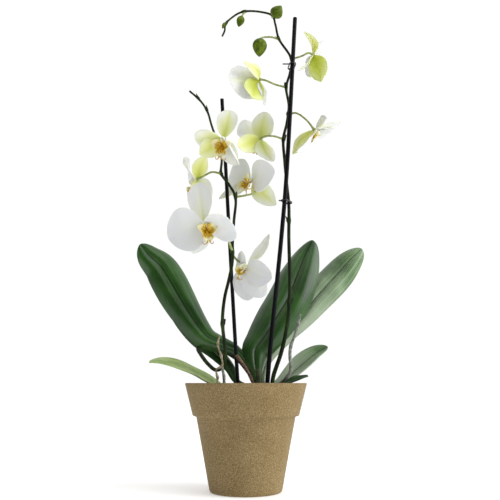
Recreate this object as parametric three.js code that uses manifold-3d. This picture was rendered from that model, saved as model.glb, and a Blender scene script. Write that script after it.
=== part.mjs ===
// A moth orchid in a wood-fibre pot: two flower spikes tied to two dark stakes, nine open blooms,
// buds, strap leaves, aerial roots and a bed of bark chips.
// Millimetres, +Z up, origin at the middle of the pot's foot on the ground, front towards -Y.

import * as THREE from 'three';
import Module from 'manifold-3d';
import { mergeVertices } from 'three/addons/utils/BufferGeometryUtils.js';

const wasm = await Module();
wasm.setup();

// ---- Driving dimensions ----

const POT_HEIGHT = 110;
const POT_RIM_RADIUS = 65; // the rim's outer radius at the very top
const POT_BAND_RADIUS = 56; // the rim band's outer radius at its lower edge
const POT_BAND_BOTTOM = 76; // height of the rim band's lower edge
const POT_BODY_RADIUS = 52.5; // the body's outer radius just under the band
const POT_FOOT_RADIUS = 38;
const POT_WALL = 3;
const POT_EDGE = 1.2; // size of the bevels on the rim and foot edges
const BEVEL_MIDDLE = 0.6; // where the corner between two bevels lies, as a share of the edge
const POT_SIDES = 32;

const FIT_GAP = 0.3; // clearance kept between two pieces that touch
const BARK_EDGE_HEIGHT = 98; // top of the bark at the wall
const BARK_DOME = 3.5; // how much the bark rises at the middle
const BARK_SIDES = 24;
const BARK_SHOULDER = [0.55, 0.7]; // a point of the dome, as shares of its radius and its rise
const CHIP_COUNT = 16;
const CHIP_LENGTH = 19;
const CHIP_WIDTH = 11.5;
const CHIP_THICKNESS = 6;
const CHIP_SIZES = [0.75, 1.15]; // the smallest and largest chip, against the usual one
const CHIP_TILT = 0.35; // radians, either way
const CHIP_SCATTER = 0.5; // radians along the spiral
const CHIP_RISES = [0.6, 2.4]; // how far a chip's middle lies above the dome
const BARK_SEED = 7;

const BLADE_THICKNESS = 0.8; // petals and sepals
const PETAL_WIDTH = 43;
const SEPAL_WIDTH = 25;
const PETAL_GRID = [7, 2]; // rows along a petal, columns across it
const SEPAL_GRID = [6, 2];
const LOBE_GRID = [2, 2];
const COLUMN_RADIUS = 2.8; // the small post in the middle of a bloom
const COLUMN_LENGTH = 8;
const COLUMN_BACK = 3; // how far it reaches behind the bloom's middle
const COLUMN_BOW = 0.5;
const COLUMN_WAIST = 0.8; // its ends are this much thinner than its middle
const COLUMN_STEPS = 3;

const LEAF_THICKNESS = 2.4; // at the midrib
const LEAF_EDGE_THICKNESS = 0.9;
const LEAF_GRID = [13, 2];
const SMALL_LEAF_GRID = [8, 2];
const SMALL_LEAF_LENGTH = 110;
const LEAF_TIP_HALF_WIDTH = 1.2;
const LEAF_BASE_FADE = 1.5; // how fast the base width dies away along the leaf

const STAKE_1_RADIUS = 2;
const STAKE_2_RADIUS = 2.4;
const PEDICEL_RADIUS = 1.15;
const PEDICEL_FLARE = 1.15; // a flower stalk is this much thicker where it leaves the spike
const STAKE_SIDES = 8;
const STEM_SIDES = 5;
const PEDICEL_STEPS = 5;
const TENDRIL_STEPS = 2;
const TENDRIL_SIDES = 3;
const CLAW_SIDES = 4;
const SMALL_EGG_GRID = [5, 4]; // segments round a small knob, and rings along it

const CLIP_WALL = 1.1;
const CLIP_HEIGHT = 2.6;
const CLIP_SLACK = 1; // clearance between a clip and its stake
const CLIP_ARC_STEPS = 4;
const TAB_SHARE = 0.8; // the tab's height, as a share of the band's

// ---- Surface looks: sRGB colour and roughness ----

const POT_LOOK = { color: 0x9a8158, roughness: 0.85 };
const BARK_LOOK = { color: 0x5b3d29, roughness: 0.95 };
const STAKE_LOOK = { color: 0x15141f, roughness: 0.45 };
const CLIP_LOOK = { color: 0x15141f, roughness: 0.4 };
const SPIKE_LOOK = { color: 0x3c5326, roughness: 0.55 };
const CROWN_LOOK = { color: 0x35592f, roughness: 0.6 };
const LEAF_LOOK = { color: 0x35592f, roughness: 0.45 };
const YOUNG_LEAF_LOOK = { color: 0x8fa05a, roughness: 0.45 };
const PETAL_LOOK = { color: 0xeef0ee, roughness: 0.5 };
const LIP_LOOK = { color: 0xd9a921, roughness: 0.5 };
const ROOT_LOOK = { color: 0x8d948a, roughness: 0.8 };
const DRY_ROOT_LOOK = { color: 0xa58273, roughness: 0.8 };
const SHEATH_LOOK = { color: 0x8a6742, roughness: 0.9 };

// ---- Small helpers ----

const vector = ([x, y, z]) => new THREE.Vector3(x, y, z);

const lerp = (a, b, t) => a + (b - a) * t;

const LATHE_AXIS = new THREE.Vector3(0, 1, 0);

// The turn that brings a lathe's own axis to a direction.
const turnUpTo = (direction) => new THREE.Quaternion().setFromUnitVectors(LATHE_AXIS, direction);

// Repeatable pseudo-random numbers from 0 to 1.
function seededRandom(seed) {
  let state = seed;
  return () => {
    state = (state * 16807) % 2147483647;
    return state / 2147483647;
  };
}

function indexedGeometry(points, faces) {
  const geometry = new THREE.BufferGeometry();
  const numbers = points.flatMap((point) => [point.x, point.y, point.z]);
  geometry.setAttribute('position', new THREE.Float32BufferAttribute(numbers, 3));
  geometry.setIndex(faces);
  return geometry;
}

function toSolid(geometry) {
  const bare = geometry.clone();
  bare.deleteAttribute('normal');
  bare.deleteAttribute('uv');
  const merged = mergeVertices(bare, 1e-4);
  return new wasm.Manifold(new wasm.Mesh({
    numProp: 3,
    vertProperties: new Float32Array(merged.attributes.position.array),
    triVerts: new Uint32Array(merged.index.array),
  }));
}

function toGeometry(solid) {
  const mesh = solid.getMesh();
  const geometry = new THREE.BufferGeometry();
  geometry.setAttribute('position', new THREE.BufferAttribute(new Float32Array(mesh.vertProperties), 3));
  geometry.setIndex(new THREE.BufferAttribute(new Uint32Array(mesh.triVerts), 1));
  return geometry;
}

const fuse = (solids) => solids.reduce((whole, piece) => whole.add(piece));

// The largest connected body of a solid, so that no loose scrap stays after a cut.
function largestBody(solid) {
  const bodies = solid.decompose();
  return bodies.reduce((best, body) => (body.volume() > best.volume() ? body : best));
}

function makeMesh(name, solid, look) {
  const material = new THREE.MeshStandardMaterial({ ...look, metalness: 0 });
  const mesh = new THREE.Mesh(toGeometry(solid), material);
  mesh.name = name;
  return mesh;
}

// ---- Closed surfaces ----

const ROW_SPREAD = 1.15; // above 1, the rows also crowd together towards the base

// A closed blade from a grid of midsurface points. Both faces use the same grid, so they are split alike.
// surface(t, s) gives {point, offset} with t from 0 to 1 along the blade and s from -1 to 1 across it.
// The rows lie closer together towards the tip, so that a blunt tip stays round.
function bladeSolid(rows, columns, surface) {
  const front = [];
  const back = [];
  for (let i = 0; i <= rows; i++) {
    for (let j = 0; j <= columns; j++) {
      const along = Math.sin((Math.PI / 2) * (i / rows) ** ROW_SPREAD);
      const { point, offset } = surface(along, (2 * j) / columns - 1);
      front.push(point.clone().add(offset));
      back.push(point.clone().sub(offset));
    }
  }
  const stride = columns + 1;
  const count = front.length;
  const faces = [];
  for (let i = 0; i < rows; i++) {
    for (let j = 0; j < columns; j++) {
      const a = i * stride + j;
      const b = a + 1;
      const c = a + stride;
      const d = c + 1;
      faces.push(a, b, d, a, d, c);
      faces.push(a + count, d + count, b + count, a + count, c + count, d + count);
    }
  }
  const border = [];
  for (let j = 0; j < columns; j++) border.push(j);
  for (let i = 0; i < rows; i++) border.push(i * stride + columns);
  for (let j = columns; j > 0; j--) border.push(rows * stride + j);
  for (let i = rows; i > 0; i--) border.push(i * stride);
  border.forEach((a, k) => {
    const b = border[(k + 1) % border.length];
    faces.push(a, a + count, b + count, a, b + count, b);
  });
  const solid = toSolid(indexedGeometry([...front, ...back], faces));
  return solid.volume() > 0 ? solid : toSolid(indexedGeometry([...front, ...back], faces.reverse()));
}

// A closed tube along a smooth curve through the points, with its radius given for t from 0 to 1.
function tubeSolid(points, radiusAt, steps, sides) {
  const curve = new THREE.CatmullRomCurve3(points.map(vector), false, 'centripetal');
  const frames = curve.computeFrenetFrames(steps, false);
  const ring = [];
  const faces = [];
  for (let i = 0; i <= steps; i++) {
    const t = i / steps;
    const centre = curve.getPointAt(t);
    for (let j = 0; j < sides; j++) {
      const angle = (2 * Math.PI * j) / sides;
      const radius = radiusAt(t);
      ring.push(centre.clone()
        .addScaledVector(frames.normals[i], radius * Math.cos(angle))
        .addScaledVector(frames.binormals[i], radius * Math.sin(angle)));
    }
  }
  for (let i = 0; i < steps; i++) {
    for (let j = 0; j < sides; j++) {
      const a = i * sides + j;
      const b = i * sides + ((j + 1) % sides);
      faces.push(a, b, b + sides, a, b + sides, a + sides);
    }
  }
  const last = steps * sides;
  for (let j = 1; j < sides - 1; j++) {
    faces.push(0, j + 1, j);
    faces.push(last, last + j, last + j + 1);
  }
  const solid = toSolid(indexedGeometry(ring, faces));
  return solid.volume() > 0 ? solid : toSolid(indexedGeometry(ring, faces.reverse()));
}

// A few-sided egg: a sphere stretched to the given half sizes, turned so its long axis follows a direction.
function eggSolid(centre, halfWidth, halfLength, direction, segments, rings) {
  const geometry = new THREE.SphereGeometry(1, segments, rings);
  geometry.scale(halfWidth, halfLength, halfWidth);
  geometry.applyQuaternion(turnUpTo(vector(direction).normalize()));
  geometry.translate(...centre);
  return toSolid(geometry);
}

// ---- Pot ----

function potSolid() {
  const slope = (POT_RIM_RADIUS - POT_BAND_RADIUS) / (POT_HEIGHT - POT_BAND_BOTTOM);
  const innerTop = POT_RIM_RADIUS - POT_WALL;
  const innerBand = POT_BAND_RADIUS - POT_WALL;
  const innerBody = POT_BODY_RADIUS - POT_WALL;
  const profile = [
    [0, 0],
    [POT_FOOT_RADIUS - 2 * POT_EDGE, 0],
    [POT_FOOT_RADIUS - POT_EDGE * BEVEL_MIDDLE, POT_EDGE * BEVEL_MIDDLE],
    [POT_FOOT_RADIUS, POT_EDGE * 2],
    [POT_BODY_RADIUS, POT_BAND_BOTTOM],
    [POT_BAND_RADIUS - POT_EDGE / 2, POT_BAND_BOTTOM],
    [POT_BAND_RADIUS + POT_EDGE * slope, POT_BAND_BOTTOM + POT_EDGE],
    [POT_RIM_RADIUS - POT_EDGE * slope, POT_HEIGHT - POT_EDGE],
    [POT_RIM_RADIUS - POT_EDGE * BEVEL_MIDDLE, POT_HEIGHT],
    [innerTop, POT_HEIGHT - POT_EDGE / 2],
    [innerBand, POT_BAND_BOTTOM + POT_WALL],
    [innerBody, POT_BAND_BOTTOM],
    [POT_FOOT_RADIUS - POT_WALL, POT_WALL],
    [0, POT_WALL],
  ];
  const geometry = new THREE.LatheGeometry(profile.map(([r, z]) => new THREE.Vector2(r, z)), POT_SIDES);
  geometry.rotateX(Math.PI / 2);
  return toSolid(geometry);
}

// ---- Bark ----

// The bed fills the pot up to a shallow dome, with chips lying on it at seeded places.
function barkSolid() {
  const bandSlope = (POT_RIM_RADIUS - POT_BAND_RADIUS) / (POT_HEIGHT - POT_BAND_BOTTOM);
  const innerBand = POT_BAND_RADIUS - POT_WALL - FIT_GAP * 2;
  const innerBody = POT_BODY_RADIUS - POT_WALL - FIT_GAP * 2;
  const floor = POT_WALL + FIT_GAP;
  const edgeRadius = innerBand + bandSlope * (BARK_EDGE_HEIGHT - POT_BAND_BOTTOM - POT_WALL) - FIT_GAP;
  const profile = [
    [0, floor],
    [POT_FOOT_RADIUS - POT_WALL - FIT_GAP * 3, floor],
    [innerBody, POT_BAND_BOTTOM - FIT_GAP],
    [innerBand, POT_BAND_BOTTOM + POT_WALL],
    [edgeRadius, BARK_EDGE_HEIGHT],
    [edgeRadius * BARK_SHOULDER[0], BARK_EDGE_HEIGHT + BARK_DOME * BARK_SHOULDER[1]],
    [0, BARK_EDGE_HEIGHT + BARK_DOME],
  ];
  const geometry = new THREE.LatheGeometry(profile.map(([r, z]) => new THREE.Vector2(r, z)), BARK_SIDES);
  geometry.rotateX(Math.PI / 2);
  const random = seededRandom(BARK_SEED);
  const reach = edgeRadius - CHIP_LENGTH / 2 - 1;
  const goldenAngle = Math.PI * (3 - Math.sqrt(5));
  const chips = [];
  for (let k = 0; k < CHIP_COUNT; k++) {
    const radius = reach * Math.sqrt((k + 0.5) / CHIP_COUNT);
    const angle = k * goldenAngle + random() * CHIP_SCATTER;
    const size = lerp(...CHIP_SIZES, random());
    const chip = new THREE.BoxGeometry(CHIP_LENGTH * size, CHIP_WIDTH * size, CHIP_THICKNESS * size);
    chip.rotateX(lerp(-CHIP_TILT, CHIP_TILT, random()));
    chip.rotateY(lerp(-CHIP_TILT, CHIP_TILT, random()));
    chip.rotateZ(random() * Math.PI);
    const dome = BARK_DOME * (1 - radius / edgeRadius);
    const rise = lerp(...CHIP_RISES, random());
    chip.translate(radius * Math.cos(angle), radius * Math.sin(angle), BARK_EDGE_HEIGHT + dome + rise);
    chips.push(toSolid(chip));
  }
  return fuse([toSolid(geometry), ...chips]);
}

// ---- Stakes ----

const STAKE_BOTTOM = 14; // how far above the ground the stakes end inside the bark
const STAKE_STEPS = 6;

const STAKE_1_ROUTE = [[-0.7, -15.4, STAKE_BOTTOM], [-8.5, -18, 112], [-27.1, -26, 421.8]];
const STAKE_2_ROUTE = [[17.5, -20.5, STAKE_BOTTOM], [22.5, -20, 112], [38.3, -17, 264.5], [44.6, -15, 333.1],
  [57.1, -12, 529.6]];

const stakeSolid = (route, radius, extra = 0) => (
  tubeSolid(route, () => radius + extra, STAKE_STEPS, STAKE_SIDES));

// ---- Flower spikes ----

const SPIKE_1_ROUTE = [[3, 8, 121], [-8, 14, 134], [-25, 19, 144.5], [-40, 21, 149], [-50, 19, 150.5],
  [-52.5, 9, 147], [-48.2, -4, 139.8], [-39.8, -14, 129.6], [-31, -22, 123.2], [-23.5, -27, 126.2],
  [-20.9, -29, 135.3], [-21.9, -30, 148.5], [-24.3, -31, 172.1], [-22.4, -32, 196], [-17.7, -33, 216.9],
  [-14.3, -34, 234.9], [-14.1, -34, 255.3], [-12.8, -34, 279.3], [-11.4, -34, 305.8], [-18.5, -34, 319.7],
  [-26.8, -32, 332.5], [-26.6, -32, 349.6], [-31.9, -32, 369.5], [-37.8, -33, 387.3], [-43, -35, 403.9],
  [-51.1, -38, 415.3], [-62.2, -42, 424.1]];
const SPIKE_2_ROUTE = [[27.4, -5, 100], [28.6, -6, 115.2], [37.8, -7, 142.7], [44.3, -7, 171.9],
  [47.4, -7, 208.4], [47.1, -7, 269.1], [47.5, -7, 303.2], [45.2, -6, 332.6], [43.5, -5, 356.4],
  [42.3, -4, 382.6], [46.6, -3, 402.7], [49.2, -2, 423.9], [46.4, -2, 447.1], [50.8, -3, 464.3],
  [52.7, -3, 482], [38.4, 1, 510.5], [34.6, 3, 530], [31, 6, 543.6], [19, 7, 548.6], [1.2, 8, 550.6],
  [-8.4, 8, 548.3], [-18.5, 7, 540.5], [-25.1, 6, 532.5], [-26, 5, 523], [-28.8, 4, 515.4]];

// ---- Blooms ----
// Each bloom has its centre, the direction it faces, the way its flower stalk (pedicel) takes from the
// spike, and its five tepals. A tepal's reach runs from the centre to its tip. Its width scales the usual
// one, face is the way its front looks where that isn't the bloom's own way, and bend is how far its
// middle bows out of the straight line. The first sepal is the upper one. lip shifts the lip from its
// usual place, and lipSize scales the lobes of the lips that are smaller than usual.

const BLOOMS = [
  {
    centre: [-43, -58, 270.7],
    facing: [0.3, -0.9, -0.35],
    lip: [1.5, -1, -3],
    stalk: [[-14.6, -35, 247], [-20, -38, 260], [-32, -44, 270]],
    petals: [
      { reach: [-37, 4, -14], width: 1.08, face: [-0.25, -0.92, -0.2] },
      { reach: [34, -8, -15], width: 0.76, face: [-0.1, -0.4, -0.92], bend: [0, -4, 6] },
    ],
    sepals: [
      { reach: [-7, 4, 45], width: 1.05, face: [-0.1, -0.95, -0.2] },
      { reach: [-12, 20, -28], width: 0.9 },
      { reach: [2, 32, -14], width: 0.9 },
    ],
  },
  {
    centre: [1, -38, 229.5],
    facing: [-0.8, -0.55, -0.15],
    lip: [0, 0, 0],
    lipSize: 0.7,
    stalk: [[-14.2, -33, 243], [-8, -31, 236], [1, -31, 231.5]],
    petals: [
      { reach: [26, -31, -17], width: 0.64, face: [-0.5, -0.8, -0.1], bend: [2, 0, -3] },
      { reach: [-9, 12, 12], width: 0.6 },
    ],
    sepals: [
      { reach: [23.5, 6, 36], width: 0.55, face: [-0.5, -0.75, 0.3], bend: [4, 0, -2] },
      { reach: [-1, 14, -34], width: 1.15, face: [-0.4, -0.85, -0.2] },
      { reach: [17, 2, -32], width: 1.15, face: [-0.4, -0.85, -0.2] },
    ],
  },
  {
    centre: [-24, -52, 364.5],
    facing: [-0.2, -0.82, -0.5],
    lip: [0, -1, -3.5],
    stalk: [[-30, -32.5, 366], [-28, -38, 369.5], [-25, -45, 368.5]],
    petals: [
      { reach: [-31, 10, 5], width: 0.9, face: [-0.15, -0.35, -0.92] },
      { reach: [17, -16, -31], width: 0.75, face: [-0.6, 0, -0.45], bend: [4, 0, 2] },
    ],
    sepals: [
      { reach: [6.5, 8, 36.5], width: 0.92, face: [0, -0.95, 0.1] },
      { reach: [-26, 10, -14], width: 0.9, face: [-0.2, -0.85, -0.4] },
      { reach: [12, 16, -24], width: 0.8 },
    ],
  },
  {
    centre: [-54, -28, 327],
    facing: [-0.85, 0.35, -0.35],
    lip: [-2, 0, -5],
    lipSize: 0.6,
    stalk: [[-27, -32, 332.5], [-37, -33, 334], [-47, -31, 329.5]],
    petals: [
      { reach: [12, 26, -24], width: 0.75, face: [-0.5, 0.75, 0.3] },
      { reach: [-9.5, 22, 31], width: 0.65, face: [-0.95, 0.05, -0.25], bend: [-3, 0, 0] },
    ],
    sepals: [
      { reach: [10, -10, 24], width: 0.78, face: [-0.6, 0.75, 0.2] },
      { reach: [-3, 26, -25], width: 0.8 },
      { reach: [5, -8, -34], width: 0.8 },
    ],
  },
  {
    centre: [6.5, -20, 328],
    facing: [-0.6, -0.78, -0.05],
    lip: [-4, 0, -2],
    stalk: [[-11.4, -34, 305.8], [0, -31, 308.5], [8.5, -23, 313.5], [10.5, -16, 321]],
    petals: [
      { reach: [-25, 31, 16], width: 1 },
      { reach: [25, -26, 3], width: 0.82 },
    ],
    sepals: [
      { reach: [6, 28, 19], width: 0.9 },
      { reach: [-37, 14, -16], width: 0.42 },
      { reach: [26, -6, -29], width: 0.95 },
    ],
  },
  {
    centre: [15.9, 8, 387.5],
    facing: [-0.45, 0.88, -0.1],
    lip: [0, 0, 0],
    lipSize: 0.8,
    stalk: [[42.3, -4, 382.6], [33, -4, 386], [23, 0, 388]],
    petals: [
      { reach: [-18, 14, 30], width: 0.85 },
      { reach: [12, 30, -10], width: 0.6 },
    ],
    sepals: [
      { reach: [7, -10, 29], width: 1.05, face: [-0.1, 0.9, 0.3] },
      { reach: [-25, -14, -15], width: 0.9 },
      { reach: [14, -9, -31], width: 0.95 },
    ],
  },
  {
    centre: [14.8, -2, 456.3],
    facing: [-0.6, 0.75, -0.25],
    lip: [0, 0, 0],
    stalk: [[46.4, -2, 447.1], [34, -3, 450], [22, -6, 454]],
    petals: [
      { reach: [-34, -14, -5], width: 1.1 },
      { reach: [8, 10, -27], width: 0.5, face: [-0.85, 0.45, -0.2], bend: [4.5, 0, 2] },
    ],
    sepals: [
      { reach: [-18, -14, 15], width: 0.75, bend: [7, 0, 2] },
      { reach: [-8, 22, -14], width: 0.6 },
      { reach: [-8, -14, -29], width: 1.15 },
    ],
  },
  {
    centre: [79.3, 2, 490],
    facing: [0.6, 0.75, -0.2],
    lip: [1, 2.5, -1],
    lipSize: 0.8,
    stalk: [[52.7, -3, 482], [65, -4, 485.5], [73, -3, 490]],
    petals: [
      { reach: [13, 24, 2], width: 1, face: [0.9, 0.1, 0.1], bend: [5, 0, 0] },
      { reach: [-6, 14, -21], width: 0.7 },
    ],
    sepals: [
      { reach: [-10.5, -6, 26.5], width: 0.4, bend: [6, 0, 0] },
      { reach: [-18, -10, -25], width: 0.6, face: [0.75, 0.1, -0.6] },
      { reach: [8, -6, -37], width: 1 },
    ],
  },
  {
    centre: [77.5, -14, 389.4],
    facing: [0.68, 0.25, -0.69],
    lip: [-2, 1, 3],
    lipSize: 0.6,
    stalk: [[48.5, -2.5, 413.5], [57, -6, 413.5], [68, -12, 403]],
    petals: [
      { reach: [-22, -14, -29], width: 0.58, face: [0.75, -0.05, -0.62] },
      { reach: [8.5, 16, 24.5], width: 0.5, face: [0.8, 0.4, -0.4] },
    ],
    sepals: [
      { reach: [31, 6, 12], width: 0.95, face: [0.45, -0.1, -0.85] },
      { reach: [-24, 10, -25], width: 0.9, face: [0.5, 0.7, -0.5], bend: [-4, 0, 4] },
      { reach: [22, 24, 7], width: 0.8 },
    ],
  },
];

// A right-handed frame for a blade that runs along reach and shows its front to facing.
function bladeFrame(reach, facing) {
  const along = vector(reach).normalize();
  const normal = vector(facing).normalize();
  normal.addScaledVector(along, -normal.dot(along)).normalize();
  const across = new THREE.Vector3().crossVectors(along, normal);
  return { along, normal, across };
}

// Half width of a tepal, from 0 at the base to 1 at its widest and a blunt tip.
const outline = (t, skew, fullness) => Math.sin(Math.PI * t ** skew) ** fullness;

// One petal or sepal. It bows forward a little and its sides cup forward. extra makes it thicker all
// round, for a cut.
function tepalSolid(centre, tepal, facing, width, shape, grid, extra = 0) {
  const { along, normal, across } = bladeFrame(tepal.reach, tepal.face ?? facing);
  const bend = vector(tepal.bend ?? [0, 0, 0]);
  const length = vector(tepal.reach).length();
  const halfWidth = (width * tepal.width) / 2;
  const surface = (t, s) => {
    const half = Math.max(halfWidth * outline(t, shape.skew, shape.fullness), shape.least) + extra;
    const bow = shape.bow * length * Math.sin(Math.PI * t);
    const cup = shape.cup * half * s * s;
    const point = vector(centre)
      .addScaledVector(along, length * t)
      .addScaledVector(across, half * s)
      .addScaledVector(normal, bow + cup + shape.layer)
      .addScaledVector(bend, Math.sin(Math.PI * t));
    return { point, offset: normal.clone().multiplyScalar(BLADE_THICKNESS / 2 + extra) };
  };
  return bladeSolid(grid[0], grid[1], surface);
}

const PETAL_SHAPE = { skew: 0.85, fullness: 0.55, least: 1.6, bow: 0.07, cup: 0.12, layer: 0.8 };
const LOBE_SHAPE = { skew: 0.85, fullness: 0.7, least: 1.6, bow: 0.12, cup: 0.25, layer: 0 };
const SEPAL_SHAPE = { skew: 0.92, fullness: 0.65, least: 1.2, bow: 0.07, cup: 0.1, layer: -0.8 };

// Points in a bloom's own frame: right, up (towards the upper sepal) and forward.
function bloomFrame(bloom) {
  const forward = vector(bloom.facing).normalize();
  const up = vector(bloom.sepals[0].reach).normalize();
  up.addScaledVector(forward, -up.dot(forward)).normalize();
  const right = new THREE.Vector3().crossVectors(up, forward);
  const place = ([x, y, z]) => vector(bloom.centre)
    .addScaledVector(right, x)
    .addScaledVector(up, y)
    .addScaledVector(forward, z)
    .toArray();
  return { forward, up, right, place };
}

function bloomSolid(bloom, extra = 0) {
  const { place } = bloomFrame(bloom);
  const petals = bloom.petals.map((petal) => (
    tepalSolid(bloom.centre, petal, bloom.facing, PETAL_WIDTH, PETAL_SHAPE, PETAL_GRID, extra)));
  const sepals = bloom.sepals.map((sepal) => (
    tepalSolid(bloom.centre, sepal, bloom.facing, SEPAL_WIDTH, SEPAL_SHAPE, SEPAL_GRID, extra)));
  const column = tubeSolid(
    [
      place([0, 0, -COLUMN_BACK - extra]),
      place([0, COLUMN_BOW, COLUMN_BACK]),
      place([0, -COLUMN_BOW, COLUMN_LENGTH + extra]),
    ],
    (t) => COLUMN_RADIUS * lerp(COLUMN_WAIST, 1, Math.sin(Math.PI * t)) + extra,
    COLUMN_STEPS,
    STEM_SIDES,
  );
  return fuse([...petals, ...sepals, column]);
}

// The parts of a lip, as points in the bloom's own frame. The side lobe and the tendril are the
// right-hand ones.
const SIDE_LOBE = { root: [1.5, -5.5, 5], tip: [10.5, 1.5, 9.5], width: 10.5, lean: 0.7 };
const MIDDLE_LOBE = { root: [0, -5.5, 5.5], tip: [0, -15, 13.5], width: 10.5, lean: 0.8 };
const TENDRIL = [[0.8, -13, 13], [2.6, -16, 13.5], [5, -16.5, 11], [5.6, -14.5, 9.5]];
const TENDRIL_RADII = [0.75, 0.5];
const CALLUS = { centre: [0, -5.2, 5.5], halfWidth: 2.4, halfLength: 3.2 };
const CLAW = { from: [0, -1.5, 3.5], to: [0, -5, 5.5], radius: 1.3 };

const mirrored = ([x, y, z], side) => [side * x, y, z];

// The lip: two side lobes that stand up beside the column, a pointed middle lobe with two tendrils, a
// callus, and a short claw that comes from the foot of the column.
function lipSolid(bloom) {
  const { place, forward, right, up } = bloomFrame(bloom);
  const shifted = (local) => vector(place(local)).add(vector(bloom.lip)).toArray();
  const size = bloom.lipSize ?? 1;
  const lobe = (shape, side, facing) => {
    const root = mirrored(shape.root, side);
    const tip = mirrored(shape.tip, side);
    const reach = vector(place(tip)).sub(vector(place(root))).multiplyScalar(size).toArray();
    const face = facing.addScaledVector(forward, shape.lean).toArray();
    return tepalSolid(shifted(root), { reach, width: size }, face, shape.width, LOBE_SHAPE, LOBE_GRID);
  };
  const lobeRoot = vector(MIDDLE_LOBE.root);
  const sized = (point) => vector(point).sub(lobeRoot).multiplyScalar(size).add(lobeRoot).toArray();
  const tendril = (side) => tubeSolid(
    TENDRIL.map((point) => shifted(sized(mirrored(point, side)))),
    (t) => lerp(...TENDRIL_RADII, t),
    TENDRIL_STEPS,
    TENDRIL_SIDES,
  );
  const { centre, halfWidth, halfLength } = CALLUS;
  return fuse([
    eggSolid(shifted(centre), halfWidth, halfLength, forward.toArray(), ...SMALL_EGG_GRID),
    tubeSolid([place(CLAW.from), shifted(CLAW.to)], () => CLAW.radius, 1, CLAW_SIDES),
    lobe(SIDE_LOBE, -1, right.clone()),
    lobe(SIDE_LOBE, 1, right.clone().negate()),
    lobe(MIDDLE_LOBE, 1, up.clone()),
    tendril(-1),
    tendril(1),
  ]);
}

// The stalk of a bloom ends just behind the bloom's middle.
function stalkSolid(bloom) {
  const { place } = bloomFrame(bloom);
  const end = place([0, 0, -COLUMN_BACK - FIT_GAP * 2]);
  const radiusAt = (t) => PEDICEL_RADIUS * lerp(PEDICEL_FLARE, 1, t);
  return tubeSolid([...bloom.stalk, end], radiusAt, PEDICEL_STEPS, STEM_SIDES);
}

// ---- Buds and spikes ----

const BUDS = [
  {
    stalk: [[37.6, 1, 510], [30, 0, 511.8], [20, -1, 511]],
    base: [16.2, -2, 508.5],
    tip: [15, -3, 485],
    width: 17,
  },
  { stalk: [[30.6, 5, 540], [31.5, 4, 541]], base: [32, 4, 540], tip: [42, 0, 553], width: 15.5 },
  { stalk: [[-2, 8, 549], [-4, 7, 546]], base: [-5.5, 6, 542.5], tip: [-9.5, 4, 527.5], width: 9.5 },
  { stalk: [[-24, 6, 533], [-26, 6, 533.5]], base: [-26, 6, 534], tip: [-28.8, 4, 525], width: 4.2 },
];

const BUD_SHAPE = { skew: 0.72, fullness: 0.8 };
const BUD_RINGS = 5;
const BUD_SIDES = 7;
const BUD_STALK_DEPTH = 0.3; // how far a bud's stalk runs into it, as a share of its length

// A bud is round at its base and narrows to a blunt point.
function budSolid(bud) {
  const axis = vector(bud.tip).sub(vector(bud.base));
  const profile = [];
  for (let k = 0; k <= BUD_RINGS; k++) {
    const t = k / BUD_RINGS;
    const radius = (bud.width / 2) * outline(t, BUD_SHAPE.skew, BUD_SHAPE.fullness);
    profile.push(new THREE.Vector2(k === 0 || k === BUD_RINGS ? 0 : radius, t * axis.length()));
  }
  const geometry = new THREE.LatheGeometry(profile, BUD_SIDES);
  geometry.applyQuaternion(turnUpTo(axis.normalize()));
  geometry.translate(...bud.base);
  return toSolid(geometry);
}

function budSolids() {
  return BUDS.flatMap((bud) => {
    const inside = vector(bud.base).lerp(vector(bud.tip), BUD_STALK_DEPTH).toArray();
    const route = [...bud.stalk, bud.base, inside];
    return [tubeSolid(route, () => PEDICEL_RADIUS, PEDICEL_STEPS, STEM_SIDES), budSolid(bud)];
  });
}

const JOINT_RADIUS = 2.5; // a bare joint of a spike is a little thicker than the stem
const JOINT_LENGTH = 7;

const SPIKE_1_JOINTS = [[-24.1, -31, 170], [-44, -35.2, 405]];
const SPIKE_2_JOINTS = [[46.2, -7, 195], [47.3, -7, 286]];

const jointSolids = (points) => points.map((point) => (
  eggSolid(point, JOINT_RADIUS, JOINT_LENGTH / 2, [0, 0, 1], ...SMALL_EGG_GRID)));

const SPIKE_FOOT_RADIUS = 2.3;
const SPIKE_TIP_RADIUS = 1.1;
const SPIKE_STEPS = 38;
const SPIKE_FOOT_STEPS = 8;

const stemSolid = (route) => (
  tubeSolid(route, (t) => lerp(SPIKE_FOOT_RADIUS, SPIKE_TIP_RADIUS, t), SPIKE_STEPS, STEM_SIDES));

function spikeOneSolid() {
  const stem = stemSolid(SPIKE_1_ROUTE);
  const stalks = BLOOMS.slice(0, 5).map(stalkSolid);
  return fuse([stem, ...stalks, ...jointSolids(SPIKE_1_JOINTS)]);
}

function spikeTwoSolid() {
  const stem = stemSolid(SPIKE_2_ROUTE);
  const stalks = BLOOMS.slice(5).map(stalkSolid);
  return fuse([stem, ...stalks, ...jointSolids(SPIKE_2_JOINTS), ...budSolids()]);
}

// ---- Leaves ----
// The route is the midrib from base to tip. The upper face looks along faceBase near the stem and turns
// to faceTip. fold is how far each half rises from flat in degrees, below 0 where the edges droop.
// widest is the share of the length where the leaf is broadest, and a lower blunt makes a rounder tip.

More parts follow.
